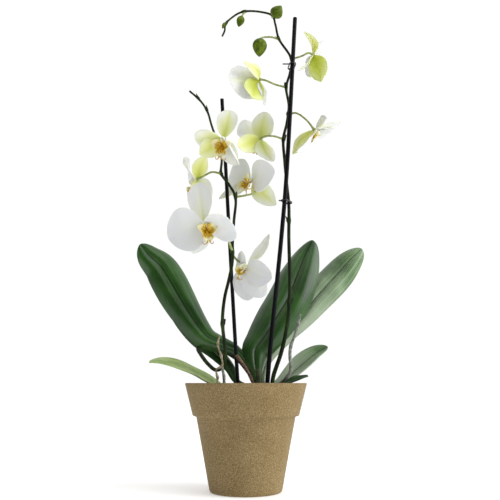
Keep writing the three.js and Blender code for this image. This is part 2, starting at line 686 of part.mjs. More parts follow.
const LEAVES = [
  {
    name: 'leaf_left_upper',
    route: [[8, 2, 118], [-1, 4, 135], [-12, 6, 146], [-29, 9, 153], [-43.1, 10, 159.7],
      [-54.4, 12, 172.7], [-66.1, 15, 189.6], [-78, 19, 208.8], [-88.4, 23, 226.4], [-98.7, 27, 241.5],
      [-113.1, 31, 254.9], [-123.4, 34, 267.9]],
    faceBase: [0.42, -0.84, 0.36],
    faceTip: [0, -0.97, 0.1],
    width: 45,
    baseWidth: 12,
    fold: -24,
    widest: 0.7,
    blunt: 0.45,
    look: LEAF_LOOK,
  },
  {
    name: 'leaf_left_lower',
    route: [[8, 4, 104], [-1, 6, 106.5], [-10.4, 8, 112.1], [-17.5, 14, 126], [-27.3, 21, 137.1],
      [-37.2, 28, 146.9], [-52.2, 34, 159.9], [-69, 40, 180.8], [-86.4, 46, 206.3], [-97.7, 49, 224.9]],
    faceBase: [0.35, -0.9, 0.3],
    faceTip: [0.3, -0.9, 0.2],
    width: 27,
    baseWidth: 8,
    fold: -14,
    widest: 0.66,
    blunt: 0.55,
    look: LEAF_LOOK,
  },
  {
    name: 'leaf_right_upper',
    route: [[12.8, 0, 113], [10.5, 0, 124], [9.2, 1.5, 134], [9.7, 4, 145], [17.4, 8, 156],
      [34, 16, 182.2], [45.6, 22, 201.6], [59.9, 32, 235.5], [68.4, 38, 255.1], [78.3, 43, 274.6]],
    faceBase: [0.1, -0.97, 0.1],
    faceTip: [-0.38, -0.91, 0.18],
    width: 54.5,
    baseWidth: 16,
    fold: -22,
    widest: 0.58,
    blunt: 0.5,
    look: LEAF_LOOK,
  },
  {
    name: 'leaf_right_lower',
    route: [[16, 8, 110], [22, 14, 132], [43.5, 26, 163.8], [63.2, 34, 185.9], [83.4, 42, 209.9],
      [108.5, 52, 237], [123.7, 58, 254], [138.8, 63, 268.4]],
    faceBase: [-0.1, -0.95, 0.25],
    faceTip: [-0.1, -0.95, 0.2],
    width: 41,
    baseWidth: 13,
    fold: -22,
    widest: 0.72,
    blunt: 0.42,
    look: LEAF_LOOK,
  },
  {
    name: 'leaf_right_small',
    route: [[24, 5, 104], [37.7, 9, 110.5], [50, 14, 119.5], [63.3, 20, 130.9], [76.8, 27, 141.3],
      [91.6, 33, 149.7]],
    faceBase: [-0.2, -0.8, 0.6],
    faceTip: [-0.3, -0.75, 0.6],
    width: 24,
    baseWidth: 8,
    fold: 26,
    widest: 0.6,
    blunt: 0.55,
    look: LEAF_LOOK,
  },
  {
    name: 'leaf_left_young',
    route: [[-20, 2, 103], [-34.1, 0, 109.5], [-47.5, -1, 116.2], [-62.6, -4, 123.4], [-77.6, -6, 129.2],
      [-91.2, -8, 131.8], [-102.2, -10, 131.6]],
    faceBase: [-0.1, -0.5, 0.9],
    faceTip: [0, -0.5, 0.9],
    width: 19,
    baseWidth: 8,
    fold: 16,
    widest: 0.55,
    blunt: 0.55,
    look: YOUNG_LEAF_LOOK,
  },
  {
    name: 'leaf_right_young',
    route: [[30, -8, 103], [46.1, -14, 111.1], [64.5, -20, 117.3]],
    faceBase: [0, -0.5, 0.9],
    faceTip: [0, -0.5, 0.9],
    width: 10,
    baseWidth: 5,
    fold: 15,
    widest: 0.5,
    blunt: 0.55,
    look: LEAF_LOOK,
  },
];

// Half width of a strap leaf: narrow at the base, widest past the middle, rounded to a blunt point.
function leafHalfWidth(leaf, t) {
  const skew = Math.log(0.5) / Math.log(leaf.widest);
  const full = Math.sin(Math.PI * t ** skew) ** leaf.blunt * leaf.width / 2;
  return Math.max(full, (leaf.baseWidth / 2) * (1 - t) ** LEAF_BASE_FADE, LEAF_TIP_HALF_WIDTH);
}

function leafSolid(leaf, extra = 0) {
  const curve = new THREE.CatmullRomCurve3(leaf.route.map(vector), false, 'centripetal');
  const rise = Math.sin(THREE.MathUtils.degToRad(leaf.fold));
  const flat = Math.cos(THREE.MathUtils.degToRad(leaf.fold));
  const surface = (t, s) => {
    const tangent = curve.getTangentAt(t);
    const face = vector(leaf.faceBase).lerp(vector(leaf.faceTip), t);
    face.addScaledVector(tangent, -face.dot(tangent)).normalize();
    const across = new THREE.Vector3().crossVectors(tangent, face);
    const half = leafHalfWidth(leaf, t) + extra;
    const point = curve.getPointAt(t)
      .addScaledVector(across, half * s * flat)
      .addScaledVector(face, half * Math.abs(s) * rise);
    const thickness = lerp(LEAF_THICKNESS, LEAF_EDGE_THICKNESS, Math.abs(s));
    return { point, offset: face.multiplyScalar(thickness / 2 + extra) };
  };
  const grid = curve.getLength() > SMALL_LEAF_LENGTH ? LEAF_GRID : SMALL_LEAF_GRID;
  return bladeSolid(grid[0], grid[1], surface);
}

// ---- Crown: the short stem that the leaves grow from ----

const CROWN_ROUTE = [[14, 4, 86], [13.5, 4, 104], [12.5, 3.8, 116], [11.5, 3.2, 125]];
const CROWN_RADII = [9, 5]; // at the bottom and at the top
const CROWN_STEPS = 4;
const CROWN_SIDES = 8;

const crownSolid = (extra = 0) => (
  tubeSolid(CROWN_ROUTE, (t) => lerp(...CROWN_RADII, t) + extra, CROWN_STEPS, CROWN_SIDES));

// ---- Roots and the dry sheath ----

const ROOTS = [
  {
    name: 'aerial_root_right',
    route: [[26, -14, 98], [31.5, -20, 106], [40, -26, 113.5], [46, -29, 122], [45.4, -31, 135.3],
      [46.3, -31, 147], [50.8, -31, 158.7], [54, -31, 170.4], [57, -31, 180.4]],
    radius: 1.8,
    look: ROOT_LOOK,
  },
  {
    name: 'aerial_root_front',
    route: [[-9.8, -24, 138], [-2.9, -27, 129.2], [2.2, -27, 121.1], [7.4, -25, 109], [9, -23, 98]],
    radius: 1.7,
    look: DRY_ROOT_LOOK,
  },
  {
    name: 'aerial_root_left',
    route: [[-21, -34, 98], [-21.7, -34, 107], [-22.3, -34, 117], [-25, -34, 128]],
    radius: 1.6,
    look: ROOT_LOOK,
  },
];

const ROOT_TAPER = [1.05, 0.85]; // a root's thickness at its foot and tip, against the usual one
const ROOT_STEPS = 10;

const rootSolid = (root, extra = 0) => (
  tubeSolid(root.route, (t) => root.radius * lerp(...ROOT_TAPER, t) + extra, ROOT_STEPS, STEM_SIDES));

const SHEATH_ROUTE = [[-30, -38, 101], [-28.5, -38, 115], [-30, -38, 123], [-24, -38, 127], [-24.5, -38, 135],
  [-28.5, -37, 148], [-27, -37, 158]];
const SHEATH_RADIUS = 1.1;
const SHEATH_STEPS = 12;

const sheathSolid = (extra = 0) => (
  tubeSolid(SHEATH_ROUTE, () => SHEATH_RADIUS + extra, SHEATH_STEPS, STEM_SIDES));

// ---- Clips ----
// A flat plastic band that runs round the stake and the spike together, with a short tab.

const CLIPS = [
  { name: 'clip_lower', height: 306, tab: 3 },
  { name: 'clip_upper', height: 470, tab: 8 },
];

const ROUTE_SAMPLES = 800;

// The point of a route at a given height.
function routePointAt(route, height) {
  const curve = new THREE.CatmullRomCurve3(route.map(vector), false, 'centripetal');
  const off = (point) => Math.abs(point.z - height);
  const points = curve.getSpacedPoints(ROUTE_SAMPLES);
  return points.reduce((best, point) => (off(point) < off(best) ? point : best));
}

function clipSolid(clip) {
  const middle = clip.height + CLIP_HEIGHT / 2;
  const stake = routePointAt(STAKE_2_ROUTE, middle);
  const spike = routePointAt(SPIKE_2_ROUTE, middle);
  const apart = new THREE.Vector2(spike.x - stake.x, spike.y - stake.y);
  const inner = STAKE_2_RADIUS + CLIP_SLACK;
  const loop = (radius, shape) => {
    shape.absarc(apart.length(), 0, radius, -Math.PI / 2, Math.PI / 2, false);
    shape.absarc(0, 0, radius, Math.PI / 2, (3 * Math.PI) / 2, false);
    return shape;
  };
  const band = loop(inner + CLIP_WALL, new THREE.Shape());
  band.holes.push(loop(inner, new THREE.Path()));
  const geometry = new THREE.ExtrudeGeometry(band, {
    depth: CLIP_HEIGHT,
    bevelEnabled: false,
    curveSegments: CLIP_ARC_STEPS,
  });
  geometry.rotateZ(apart.angle());
  const tab = new THREE.BoxGeometry(clip.tab, CLIP_WALL, CLIP_HEIGHT * TAB_SHARE);
  tab.translate(-inner - (clip.tab + CLIP_WALL) / 2, 0, CLIP_HEIGHT / 2);
  return toSolid(geometry).add(toSolid(tab)).translate([stake.x, stake.y, clip.height]);
}

// ---- Assembly ----
// Each piece is cut by the slightly thicker shape of the pieces it meets, which leaves the fit gap
// between them.

const cut = (solid, cutters) => largestBody(cutters.reduce((rest, cutter) => rest.subtract(cutter), solid));

const stakeOneHole = stakeSolid(STAKE_1_ROUTE, STAKE_1_RADIUS, FIT_GAP);
const stakeTwoHole = stakeSolid(STAKE_2_ROUTE, STAKE_2_RADIUS, FIT_GAP);
const spikeTwoFoot = SPIKE_2_ROUTE.slice(0, 4);
const spikeTwoHole = tubeSolid(spikeTwoFoot, () => SPIKE_FOOT_RADIUS + FIT_GAP, SPIKE_FOOT_STEPS, STEM_SIDES);
const crownHole = crownSolid(FIT_GAP);
const rootHoles = ROOTS.map((root) => rootSolid(root, FIT_GAP));
const sheathHole = sheathSolid(FIT_GAP);
const leafHoles = LEAVES.map((leaf) => leafSolid(leaf, FIT_GAP));
const bloomHoles = BLOOMS.map((bloom) => bloomSolid(bloom, FIT_GAP));

const barkHoles = [
  stakeOneHole, stakeTwoHole, spikeTwoHole, crownHole, sheathHole, ...rootHoles, ...leafHoles,
];

const orchid = new THREE.Group();

orchid.add(makeMesh('pot', potSolid(), POT_LOOK));
orchid.add(makeMesh('bark', cut(barkSolid(), barkHoles), BARK_LOOK));
orchid.add(makeMesh('stake_1', stakeSolid(STAKE_1_ROUTE, STAKE_1_RADIUS), STAKE_LOOK));
orchid.add(makeMesh('stake_2', stakeSolid(STAKE_2_ROUTE, STAKE_2_RADIUS), STAKE_LOOK));
orchid.add(makeMesh('crown', crownSolid(), CROWN_LOOK));
orchid.add(makeMesh('spike_1', cut(spikeOneSolid(), [crownHole, ...bloomHoles]), SPIKE_LOOK));
orchid.add(makeMesh('spike_2', cut(spikeTwoSolid(), [crownHole, ...bloomHoles]), SPIKE_LOOK));
LEAVES.forEach((leaf, index) => {
  const solid = cut(leafSolid(leaf), [crownHole, ...leafHoles.slice(0, index)]);
  orchid.add(makeMesh(leaf.name, solid, leaf.look));
});
ROOTS.forEach((root) => {
  orchid.add(makeMesh(root.name, rootSolid(root), root.look));
});
orchid.add(makeMesh('dry_sheath', sheathSolid(), SHEATH_LOOK));
CLIPS.forEach((clip) => {
  orchid.add(makeMesh(clip.name, clipSolid(clip), CLIP_LOOK));
});
BLOOMS.forEach((bloom, index) => {
  const lip = cut(lipSolid(bloom), [bloomHoles[index]]);
  orchid.add(makeMesh(`bloom_${index + 1}`, bloomSolid(bloom), PETAL_LOOK));
  orchid.add(makeMesh(`bloom_${index + 1}_lip`, lip, LIP_LOOK));
});

export default orchid;
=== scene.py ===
# A potted moth orchid: two flower spikes tied to two dark stakes, nine open blooms, buds, strap leaves
# and aerial roots, in a pressed-fibre pot full of bark. Metres, +Z up, the front towards -Y.

import math
import random

import bmesh
import bpy
from mathutils import Matrix, Vector, noise


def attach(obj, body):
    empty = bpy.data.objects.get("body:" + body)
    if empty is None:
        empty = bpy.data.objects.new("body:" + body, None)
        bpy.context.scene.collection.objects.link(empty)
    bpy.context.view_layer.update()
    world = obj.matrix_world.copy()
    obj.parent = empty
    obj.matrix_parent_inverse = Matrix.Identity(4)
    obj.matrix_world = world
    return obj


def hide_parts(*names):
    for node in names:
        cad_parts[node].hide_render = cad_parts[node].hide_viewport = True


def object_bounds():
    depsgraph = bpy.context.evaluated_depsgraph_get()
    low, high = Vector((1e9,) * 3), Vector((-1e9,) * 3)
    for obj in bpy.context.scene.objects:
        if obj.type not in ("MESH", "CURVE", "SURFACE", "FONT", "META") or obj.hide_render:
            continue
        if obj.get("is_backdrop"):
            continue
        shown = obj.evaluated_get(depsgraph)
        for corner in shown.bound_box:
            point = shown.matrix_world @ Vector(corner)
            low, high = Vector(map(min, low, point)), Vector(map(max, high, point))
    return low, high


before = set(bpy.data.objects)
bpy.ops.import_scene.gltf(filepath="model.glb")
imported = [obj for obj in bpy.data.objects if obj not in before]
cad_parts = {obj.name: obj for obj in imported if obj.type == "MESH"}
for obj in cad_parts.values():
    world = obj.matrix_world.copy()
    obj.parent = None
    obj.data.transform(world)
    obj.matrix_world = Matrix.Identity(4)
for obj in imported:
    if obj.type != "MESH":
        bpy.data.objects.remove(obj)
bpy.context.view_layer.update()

# ---- Pot ----
# A thin-walled flower pot pressed from wood fibre and a binder. It is moulded in one piece, with a
# straight rim band that stands out from the tapered body, and its surface is matte and speckled.

POT_FOOT_RADIUS = 0.038
POT_BODY_RADIUS = 0.0525
POT_BAND_RADIUS = 0.056
POT_BAND_BOTTOM = 0.076
POT_RIM_RADIUS = 0.0647
POT_HEIGHT = 0.110
POT_WALL = 0.003
POT_STEPS = 160

# An edge that turns by more than this stays crisp, such as a blade's rim, its midrib or a cut end.
SHARP_EDGE = math.radians(52)


def linear(hex_colour):
    """The scene-linear colour, with alpha 1, of an sRGB hex value such as "a98f63"."""
    channels = [int(hex_colour[i:i + 2], 16) / 255 for i in (0, 2, 4)]
    return tuple(c / 12.92 if c <= 0.04045 else ((c + 0.055) / 1.055) ** 2.4 for c in channels) + (1.0,)


def add(tree, kind, settings=None, links=None, stops=None):
    """Adds one node: its settings by socket or property name, its incoming links, and a ramp's stops."""
    made = tree.nodes.new(kind)
    for name, value in (settings or {}).items():
        if isinstance(name, int) or name in made.inputs:
            made.inputs[name].default_value = value
        else:
            setattr(made, name, value)
    for name, source in (links or {}).items():
        tree.links.new(source, made.inputs[name])
    if stops:
        elements = made.color_ramp.elements
        while len(elements) < len(stops):
            elements.new(0.5)
        for element, (place, hex_colour) in zip(elements, stops):
            element.position = place
            element.color = linear(hex_colour)
    return made


def new_material(name):
    """An empty material and its node tree."""
    material = bpy.data.materials.new(name)
    material.use_nodes = True
    material.node_tree.nodes.clear()
    return material, material.node_tree


def finish_piece(name, bm, materials, slot, *nodes):
    """Turns a bmesh into a piece, smooth but for its sharp edges, that rides on the plant for its CAD nodes."""
    mesh = bpy.data.meshes.new(name)
    bm.to_mesh(mesh)
    bm.free()
    mesh.polygons.foreach_set("use_smooth", [True] * len(mesh.polygons))
    mesh.set_sharp_from_angle(angle=SHARP_EDGE)
    for material in materials:
        mesh.materials.append(material)
    piece = bpy.data.objects.new(name, mesh)
    bpy.context.scene.collection.objects.link(piece)
    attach(piece, "root")
    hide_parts(*nodes)
    return piece


def linked(vertices, kind):
    """The "link_faces" or "link_edges" of some vertices, each once and in the same order in every run."""
    return list(dict.fromkeys(part for vertex in vertices for part in getattr(vertex, kind)))


def turned(bm, profile, steps):
    """A closed shape spun about the upright axis from a profile of (radius, height) points."""
    others = set(bm.verts)
    points = [bm.verts.new((radius, 0, height)) for radius, height in profile]
    edges = [bm.edges.new(pair) for pair in zip(points, points[1:])]
    bmesh.ops.spin(bm, geom=points + edges, cent=(0, 0, 0), axis=(0, 0, 1), angle=2 * math.pi, steps=steps,
                   use_merge=True)
    bmesh.ops.remove_doubles(bm, verts=[vertex for vertex in bm.verts if vertex not in others], dist=1e-6)
    made = [vertex for vertex in bm.verts if vertex not in others]
    bmesh.ops.recalc_face_normals(bm, faces=linked(made, "link_faces"))
    return made


# Pressed wood fibre is dull, with a fine light and dark speckle of fibres about 1 mm long.
pot_fibre, tree = new_material("pressed wood fibre")
place = add(tree, "ShaderNodeTexCoord").outputs["Object"]
speckle = add(tree, "ShaderNodeTexNoise", {"Scale": 900, "Detail": 3, "Roughness": 0.7}, {"Vector": place})
patches = add(tree, "ShaderNodeTexNoise", {"Scale": 38, "Detail": 2}, {"Vector": place})
flecks = add(tree, "ShaderNodeTexVoronoi", {"Scale": 420, "Randomness": 1}, {"Vector": place})
tan = add(tree, "ShaderNodeValToRGB", links={"Fac": speckle.outputs["Fac"]},
          stops=[(0.3, "66532f"), (0.5, "8b764d"), (0.7, "b09c72")])
patch_tone = add(tree, "ShaderNodeValToRGB", links={"Fac": patches.outputs["Fac"]},
                 stops=[(0.3, "efebe2"), (0.7, "ffffff")])
toned = add(tree, "ShaderNodeMix", {"data_type": "RGBA", "blend_type": "MULTIPLY", 0: 1.0},
            {6: tan.outputs["Color"], 7: patch_tone.outputs["Color"]})
fleck_mask = add(tree, "ShaderNodeMapRange", {"From Min": 0.05, "From Max": 0.16, "To Min": 0.35, "To Max": 0.0},
                 {"Value": flecks.outputs["Distance"]})
flecked = add(tree, "ShaderNodeMix", {"data_type": "RGBA", 7: linear("5d4a2c")},
              {0: fleck_mask.outputs["Result"], 6: toned.outputs[2]})
grain = add(tree, "ShaderNodeBump", {"Strength": 0.3, "Distance": 0.0003}, {"Height": speckle.outputs["Fac"]})
shader = add(tree, "ShaderNodeBsdfPrincipled", {"Roughness": 0.75, "IOR": 1.45},
             {"Base Color": flecked.outputs[2], "Normal": grain.outputs["Normal"]})
add(tree, "ShaderNodeOutputMaterial", links={"Surface": shader.outputs["BSDF"]})

# The outline climbs the outside from the middle of the foot, goes over the rounded rim and comes down inside.
bm = bmesh.new()
turned(bm, [
    (0, 0), (0.0348, 0), (0.0364, 0.0003), (0.0374, 0.0012), (POT_FOOT_RADIUS, 0.0030), (0.0452, 0.0400),
    (POT_BODY_RADIUS - 0.0004, POT_BAND_BOTTOM - 0.0014), (POT_BODY_RADIUS + 0.0002, POT_BAND_BOTTOM),
    (0.0546, POT_BAND_BOTTOM + 0.0001), (0.0556, POT_BAND_BOTTOM + 0.0004),
    (POT_BAND_RADIUS + 0.0003, POT_BAND_BOTTOM + 0.0014), (0.0604, 0.0930),
    (POT_RIM_RADIUS - 0.0003, POT_HEIGHT - 0.0018), (POT_RIM_RADIUS, POT_HEIGHT - 0.0008),
    (POT_RIM_RADIUS - 0.0004, POT_HEIGHT - 0.0002), (POT_RIM_RADIUS - 0.0013, POT_HEIGHT),
    (POT_RIM_RADIUS - 0.0023, POT_HEIGHT - 0.0002), (POT_RIM_RADIUS - 0.0028, POT_HEIGHT - 0.0010),
    (POT_BAND_RADIUS - POT_WALL, POT_BAND_BOTTOM + POT_WALL), (POT_BODY_RADIUS - POT_WALL, POT_BAND_BOTTOM),
    (POT_FOOT_RADIUS - POT_WALL, POT_WALL), (0, POT_WALL),
], POT_STEPS)
finish_piece("fibre_pot", bm, [pot_fibre], "pot_fibre", "pot")

# ---- Bark ----
# Coarse fir bark, the loose chips that orchids are potted in: flat, broken pieces 10 to 20 mm long,
# rough and dull red-brown, heaped in a shallow dome just under the pot's rim.

BARK_EDGE_HEIGHT = 0.0975
BARK_EDGE_RADIUS = 0.0570
BARK_DOME = 0.0035
BARK_STEPS = 48
BARK_CHIPS = 190
CHIP_INSET = 0.009
CHIP_RISE = (-0.0005, 0.0028)
CHIP_TILTS = {"X": 0.4, "Y": 0.35}
CHIP_SIZES = ((0.009, 0.018), (0.006, 0.011), (0.0022, 0.0045))
CHIP_BEVEL = 0.0009
CHIP_LUMPS_PER_METRE = 160
CHIP_LUMP_DEPTH = 0.0011
LUMP_SEED = 7

# Bark breaks along its layers, so it is very rough, with dark cracks a millimetre or two apart.
bark, tree = new_material("fir bark")
place = add(tree, "ShaderNodeTexCoord").outputs["Object"]
layers = add(tree, "ShaderNodeTexNoise", {"Scale": 260, "Detail": 5, "Roughness": 0.7}, {"Vector": place})
tone = add(tree, "ShaderNodeTexNoise", {"Scale": 55, "Detail": 1}, {"Vector": place})
brown = add(tree, "ShaderNodeValToRGB", links={"Fac": layers.outputs["Fac"]},
            stops=[(0.3, "2c1b12"), (0.5, "563723"), (0.72, "86604a")])
tinted = add(tree, "ShaderNodeMix", {"data_type": "RGBA", "blend_type": "OVERLAY", 0: 0.6},
             {6: brown.outputs["Color"], 7: tone.outputs["Color"]})
cracks = add(tree, "ShaderNodeBump", {"Strength": 0.8, "Distance": 0.0008}, {"Height": layers.outputs["Fac"]})
shader = add(tree, "ShaderNodeBsdfPrincipled", {"Roughness": 0.9, "IOR": 1.45},
             {"Base Color": tinted.outputs[2], "Normal": cracks.outputs["Normal"]})
add(tree, "ShaderNodeOutputMaterial", links={"Surface": shader.outputs["BSDF"]})

bm = bmesh.new()
turned(bm, [
    (0, 0.006), (0.0345, 0.006), (0.0485, 0.075), (0.0520, 0.079), (BARK_EDGE_RADIUS, BARK_EDGE_HEIGHT),
    (0.032, BARK_EDGE_HEIGHT + 0.002), (0, BARK_EDGE_HEIGHT + 0.003),
], BARK_STEPS)
# The lumps on chips, roots and the dry bract come from a seeded noise, so that every run makes the same ones.
noise.seed_set(LUMP_SEED)
draw = random.Random(7)
# Each chip turns on from the last by the golden angle, which spreads them evenly over the bed.
for index in range(BARK_CHIPS):
    radius = (BARK_EDGE_RADIUS - CHIP_INSET) * math.sqrt((index + 0.5) / BARK_CHIPS)
    turn = index * math.pi * (3 - math.sqrt(5))
    rise = BARK_DOME * (1 - radius / BARK_EDGE_RADIUS) + draw.uniform(*CHIP_RISE)
    spot = Vector((radius * math.cos(turn), radius * math.sin(turn), BARK_EDGE_HEIGHT + rise))
    tilt = Matrix.Rotation(draw.uniform(0, math.pi), 4, "Z")
    for axis, most in CHIP_TILTS.items():
        tilt @= Matrix.Rotation(draw.uniform(-most, most), 4, axis)
    size = Matrix.Diagonal((*(draw.uniform(*span) for span in CHIP_SIZES), 1))
    chip = bmesh.ops.create_cube(bm, size=1, matrix=Matrix.Translation(spot) @ tilt @ size)["verts"]
    edges = linked(chip, "link_edges")
    rounded = bmesh.ops.bevel(bm, geom=edges, offset=CHIP_BEVEL, segments=1, profile=0.5, affect="EDGES",
                              material=-1)
    for vertex in rounded["verts"]:
        vertex.co += noise.noise_vector(vertex.co * CHIP_LUMPS_PER_METRE) * CHIP_LUMP_DEPTH
finish_piece("bark_chips", bm, [bark], "bark", "bark")

# ---- Stakes ----
# Two slim round canes in a near-black plastic skin, pushed through the bark to the bottom of the pot.
# The cut tops are flat, and the skin has a dull sheen with faint drawn lines.

STAKES = {
    "stake_1": (0.0020, [(-0.7, -15.4, 14), (-8.5, -18, 112), (-27.1, -26, 421.8)]),
    "stake_2": (0.0024, [(17.5, -20.5, 14), (22.5, -20, 112), (38.3, -17, 264.5), (44.6, -15, 333.1),
                         (57.1, -12, 529.6)]),
}


def mottled(name, grain, stops, surface, relief=None, stretch=None):
    """A material that one noise colours and may raise: grain is the noise's settings, stops its colours, surface the
    shader's settings, relief the height of the grain, and stretch the pattern's scale where it runs lengthwise."""
    material, tree = new_material(name)
    pattern = add(tree, "ShaderNodeTexCoord").outputs["Object"]
    if stretch:
        pattern = add(tree, "ShaderNodeMapping", {"Scale": stretch}, {"Vector": pattern}).outputs["Vector"]
    mottle = add(tree, "ShaderNodeTexNoise", grain, {"Vector": pattern})
    colours = add(tree, "ShaderNodeValToRGB", links={"Fac": mottle.outputs["Fac"]}, stops=stops)
    links = {"Base Color": colours.outputs["Color"]}
    if relief:
        links["Normal"] = add(tree, "ShaderNodeBump", relief, {"Height": mottle.outputs["Fac"]}).outputs["Normal"]
    shader = add(tree, "ShaderNodeBsdfPrincipled", surface, links)
    add(tree, "ShaderNodeOutputMaterial", links={"Surface": shader.outputs["BSDF"]})
    return material


class Route:
    """A smooth line (a centripetal Catmull-Rom curve) through points in millimetres, measured along its length."""

    SAMPLES = 40
    NEARBY = 0.004

    def __init__(self, points):
        knots = [Vector(point) / 1000 for point in points]
        knots = [2 * knots[0] - knots[1], *knots, 2 * knots[-1] - knots[-2]]
        self.places = []
        for a, b, c, d in zip(knots, knots[1:], knots[2:], knots[3:]):
            before, here, after = ((q - p).length ** 0.5 for p, q in ((a, b), (b, c), (c, d)))
            leave = ((b - a) / before - (c - a) / (before + here) + (c - b) / here) * here
            arrive = ((c - b) / here - (d - b) / (here + after) + (d - c) / after) * here
            for step in range(self.SAMPLES):
                t = step / self.SAMPLES
                self.places.append(b + leave * t + (3 * (c - b) - 2 * leave - arrive) * t ** 2
                                   + (2 * (b - c) + leave + arrive) * t ** 3)
        self.places.append(knots[-2])
        self.lengths = [0.0]
        for one, other in zip(self.places, self.places[1:]):
            self.lengths.append(self.lengths[-1] + (other - one).length)

    def at(self, share):
        """The point a share of the way along, from 0 to 1."""
        wanted = min(max(share, 0), 1) * self.lengths[-1]
        low, high = 0, len(self.lengths) - 1
        while high - low > 1:
            middle = (low + high) // 2
            low, high = (middle, high) if self.lengths[middle] <= wanted else (low, middle)
        part = (wanted - self.lengths[low]) / max(self.lengths[high] - self.lengths[low], 1e-12)
        return self.places[low].lerp(self.places[high], part)

    def heading(self, share):
        """The direction of travel at a share of the way along."""
        return (self.at(share + self.NEARBY) - self.at(share - self.NEARBY)).normalized()


def drawn_tube(bm, route, radius_at, steps, sides, material=0):
    """A round stem drawn out ring by ring along a route and closed at both ends. Returns its vertices."""
    heading = route.heading(0)
    turn = heading.to_track_quat("Z", "Y").to_matrix().to_4x4()
    last = Matrix.Translation(route.at(0)) @ turn @ Matrix.Scale(radius_at(0), 4)
    ring = bmesh.ops.create_circle(bm, segments=sides, radius=1, cap_ends=True, matrix=last)["verts"]
    edges = linked(ring, "link_edges")
    made = list(ring)
    for step in range(1, steps + 1):
        share = step / steps
        turn = heading.rotation_difference(route.heading(share)).to_matrix().to_4x4() @ turn
        heading = route.heading(share)
        here = Matrix.Translation(route.at(share)) @ turn @ Matrix.Scale(radius_at(share), 4)
        grown = bmesh.ops.extrude_edge_only(bm, edges=edges)["geom"]
        ring = [part for part in grown if isinstance(part, bmesh.types.BMVert)]
        members = set(ring)
        edges = [part for part in grown if isinstance(part, bmesh.types.BMEdge) and set(part.verts) <= members]
        bmesh.ops.transform(bm, matrix=here @ last.inverted(), verts=ring)
        made += ring
        last = here
    bmesh.ops.contextual_create(bm, geom=edges)
    faces = linked(made, "link_faces")
    bmesh.ops.recalc_face_normals(bm, faces=faces)
    for face in faces:
        face.material_index = material
    return made


# The plastic skin is drawn on lengthwise, which leaves fine lines and a dull sheen.
dark_skin = mottled(
    "plastic-skinned cane", {"Scale": 1, "Detail": 2}, [(0.35, "040408"), (0.7, "0c0b14")],
    {"Roughness": 0.45, "IOR": 1.5, "Specular IOR Level": 0.12},
    relief={"Strength": 0.25, "Distance": 0.0002}, stretch=(900, 900, 12),
)

for name, (radius, points) in STAKES.items():
    bm = bmesh.new()
    drawn_tube(bm, Route(points), lambda share, radius=radius: radius, steps=60, sides=24)
    finish_piece(f"cane_{name[-1]}", bm, [dark_skin], "stake", name)

# ---- Crown ----
# The plant's short stem, which stands in the bark and carries the leaves. It is wrapped in the
# overlapping feet of the leaves, dull green with brown dry edges.

CROWN_ROUTE = Route([(14, 4, 86), (13.5, 4, 104), (12.5, 3.8, 116), (11.5, 3.2, 125)])
CROWN_MIDDLE = (0.0135, 0.004)
CROWN_FOOT_RADIUS = 0.009
CROWN_TOP_RADIUS = 0.005
CROWN_RIBS = 14
CROWN_RIB_DEPTH = 0.05
LEAF_FEET = 6
LEAF_FOOT_STEP = 0.0004

# Old leaf feet are fibrous: lengthwise streaks from green to straw brown, with little gloss.
leaf_feet = mottled(
    "old leaf feet", {"Scale": 1, "Detail": 3}, [(0.35, "2b3a20"), (0.55, "4b5a34"), (0.75, "7c6f4c")],
    {"Roughness": 0.6, "IOR": 1.45},
    relief={"Strength": 0.6, "Distance": 0.0005}, stretch=(500, 500, 60),
)


def crown_radius(share):
    """The stem's radius, with a low step where each leaf foot ends."""
    foot = LEAF_FOOT_STEP * (share * LEAF_FEET % 1)
    return CROWN_FOOT_RADIUS + (CROWN_TOP_RADIUS - CROWN_FOOT_RADIUS) * share + foot


bm = bmesh.new()
for vertex in drawn_tube(bm, CROWN_ROUTE, crown_radius, steps=40, sides=56):
    middle = Vector((*CROWN_MIDDLE, vertex.co.z))
    out = vertex.co - middle
    vertex.co = middle + out * (1 + CROWN_RIB_DEPTH * math.cos(CROWN_RIBS * math.atan2(out.y, out.x)))
finish_piece("leaf_crown", bm, [leaf_feet], "crown", "crown")

# ---- Roots ----
# Three aerial roots, 3 to 4 mm thick, that grow out over the bark. The living ones are wrapped in pale
# silvery velamen, and the dried one at the front is creased and brown. Each is given by its radius and route.

ROOTS = {
    "aerial_root_right": (0.0018, [(26, -14, 98), (31.5, -20, 106), (40, -26, 113.5), (46, -29, 122),
                                   (45.4, -31, 135.3), (46.3, -31, 147), (50.8, -31, 158.7), (54, -31, 170.4),
                                   (57, -31, 180.4)]),
    "aerial_root_front": (0.0017, [(-9.8, -24, 138), (-2.9, -27, 129.2), (2.2, -27, 121.1), (7.4, -25, 109),
                                   (9, -23, 98)]),
    "aerial_root_left": (0.0016, [(-21, -34, 98), (-21.7, -34, 107), (-22.3, -34, 117), (-25, -34, 128)]),
}
ROOT_LUMPS_PER_METRE = 220
ROOT_LUMP_DEPTH = 0.00025

# Velamen is a spongy grey skin, mottled where the green root shows through.
velamen = mottled(
    "silvery root velamen", {"Scale": 320, "Detail": 4, "Roughness": 0.65},
    [(0.32, "4c5446"), (0.5, "777b70"), (0.7, "a3a59b")], {"Roughness": 0.75, "IOR": 1.4},
    relief={"Strength": 0.5, "Distance": 0.0004},
)

# A dried root has shrunk to a creased brown skin.
dried_root = mottled(
    "dried root skin", {"Scale": 420, "Detail": 4, "Roughness": 0.7},
    [(0.32, "3a2a20"), (0.5, "6b5343"), (0.7, "a58a76")], {"Roughness": 0.85, "IOR": 1.4},
    relief={"Strength": 0.7, "Distance": 0.0005},
)

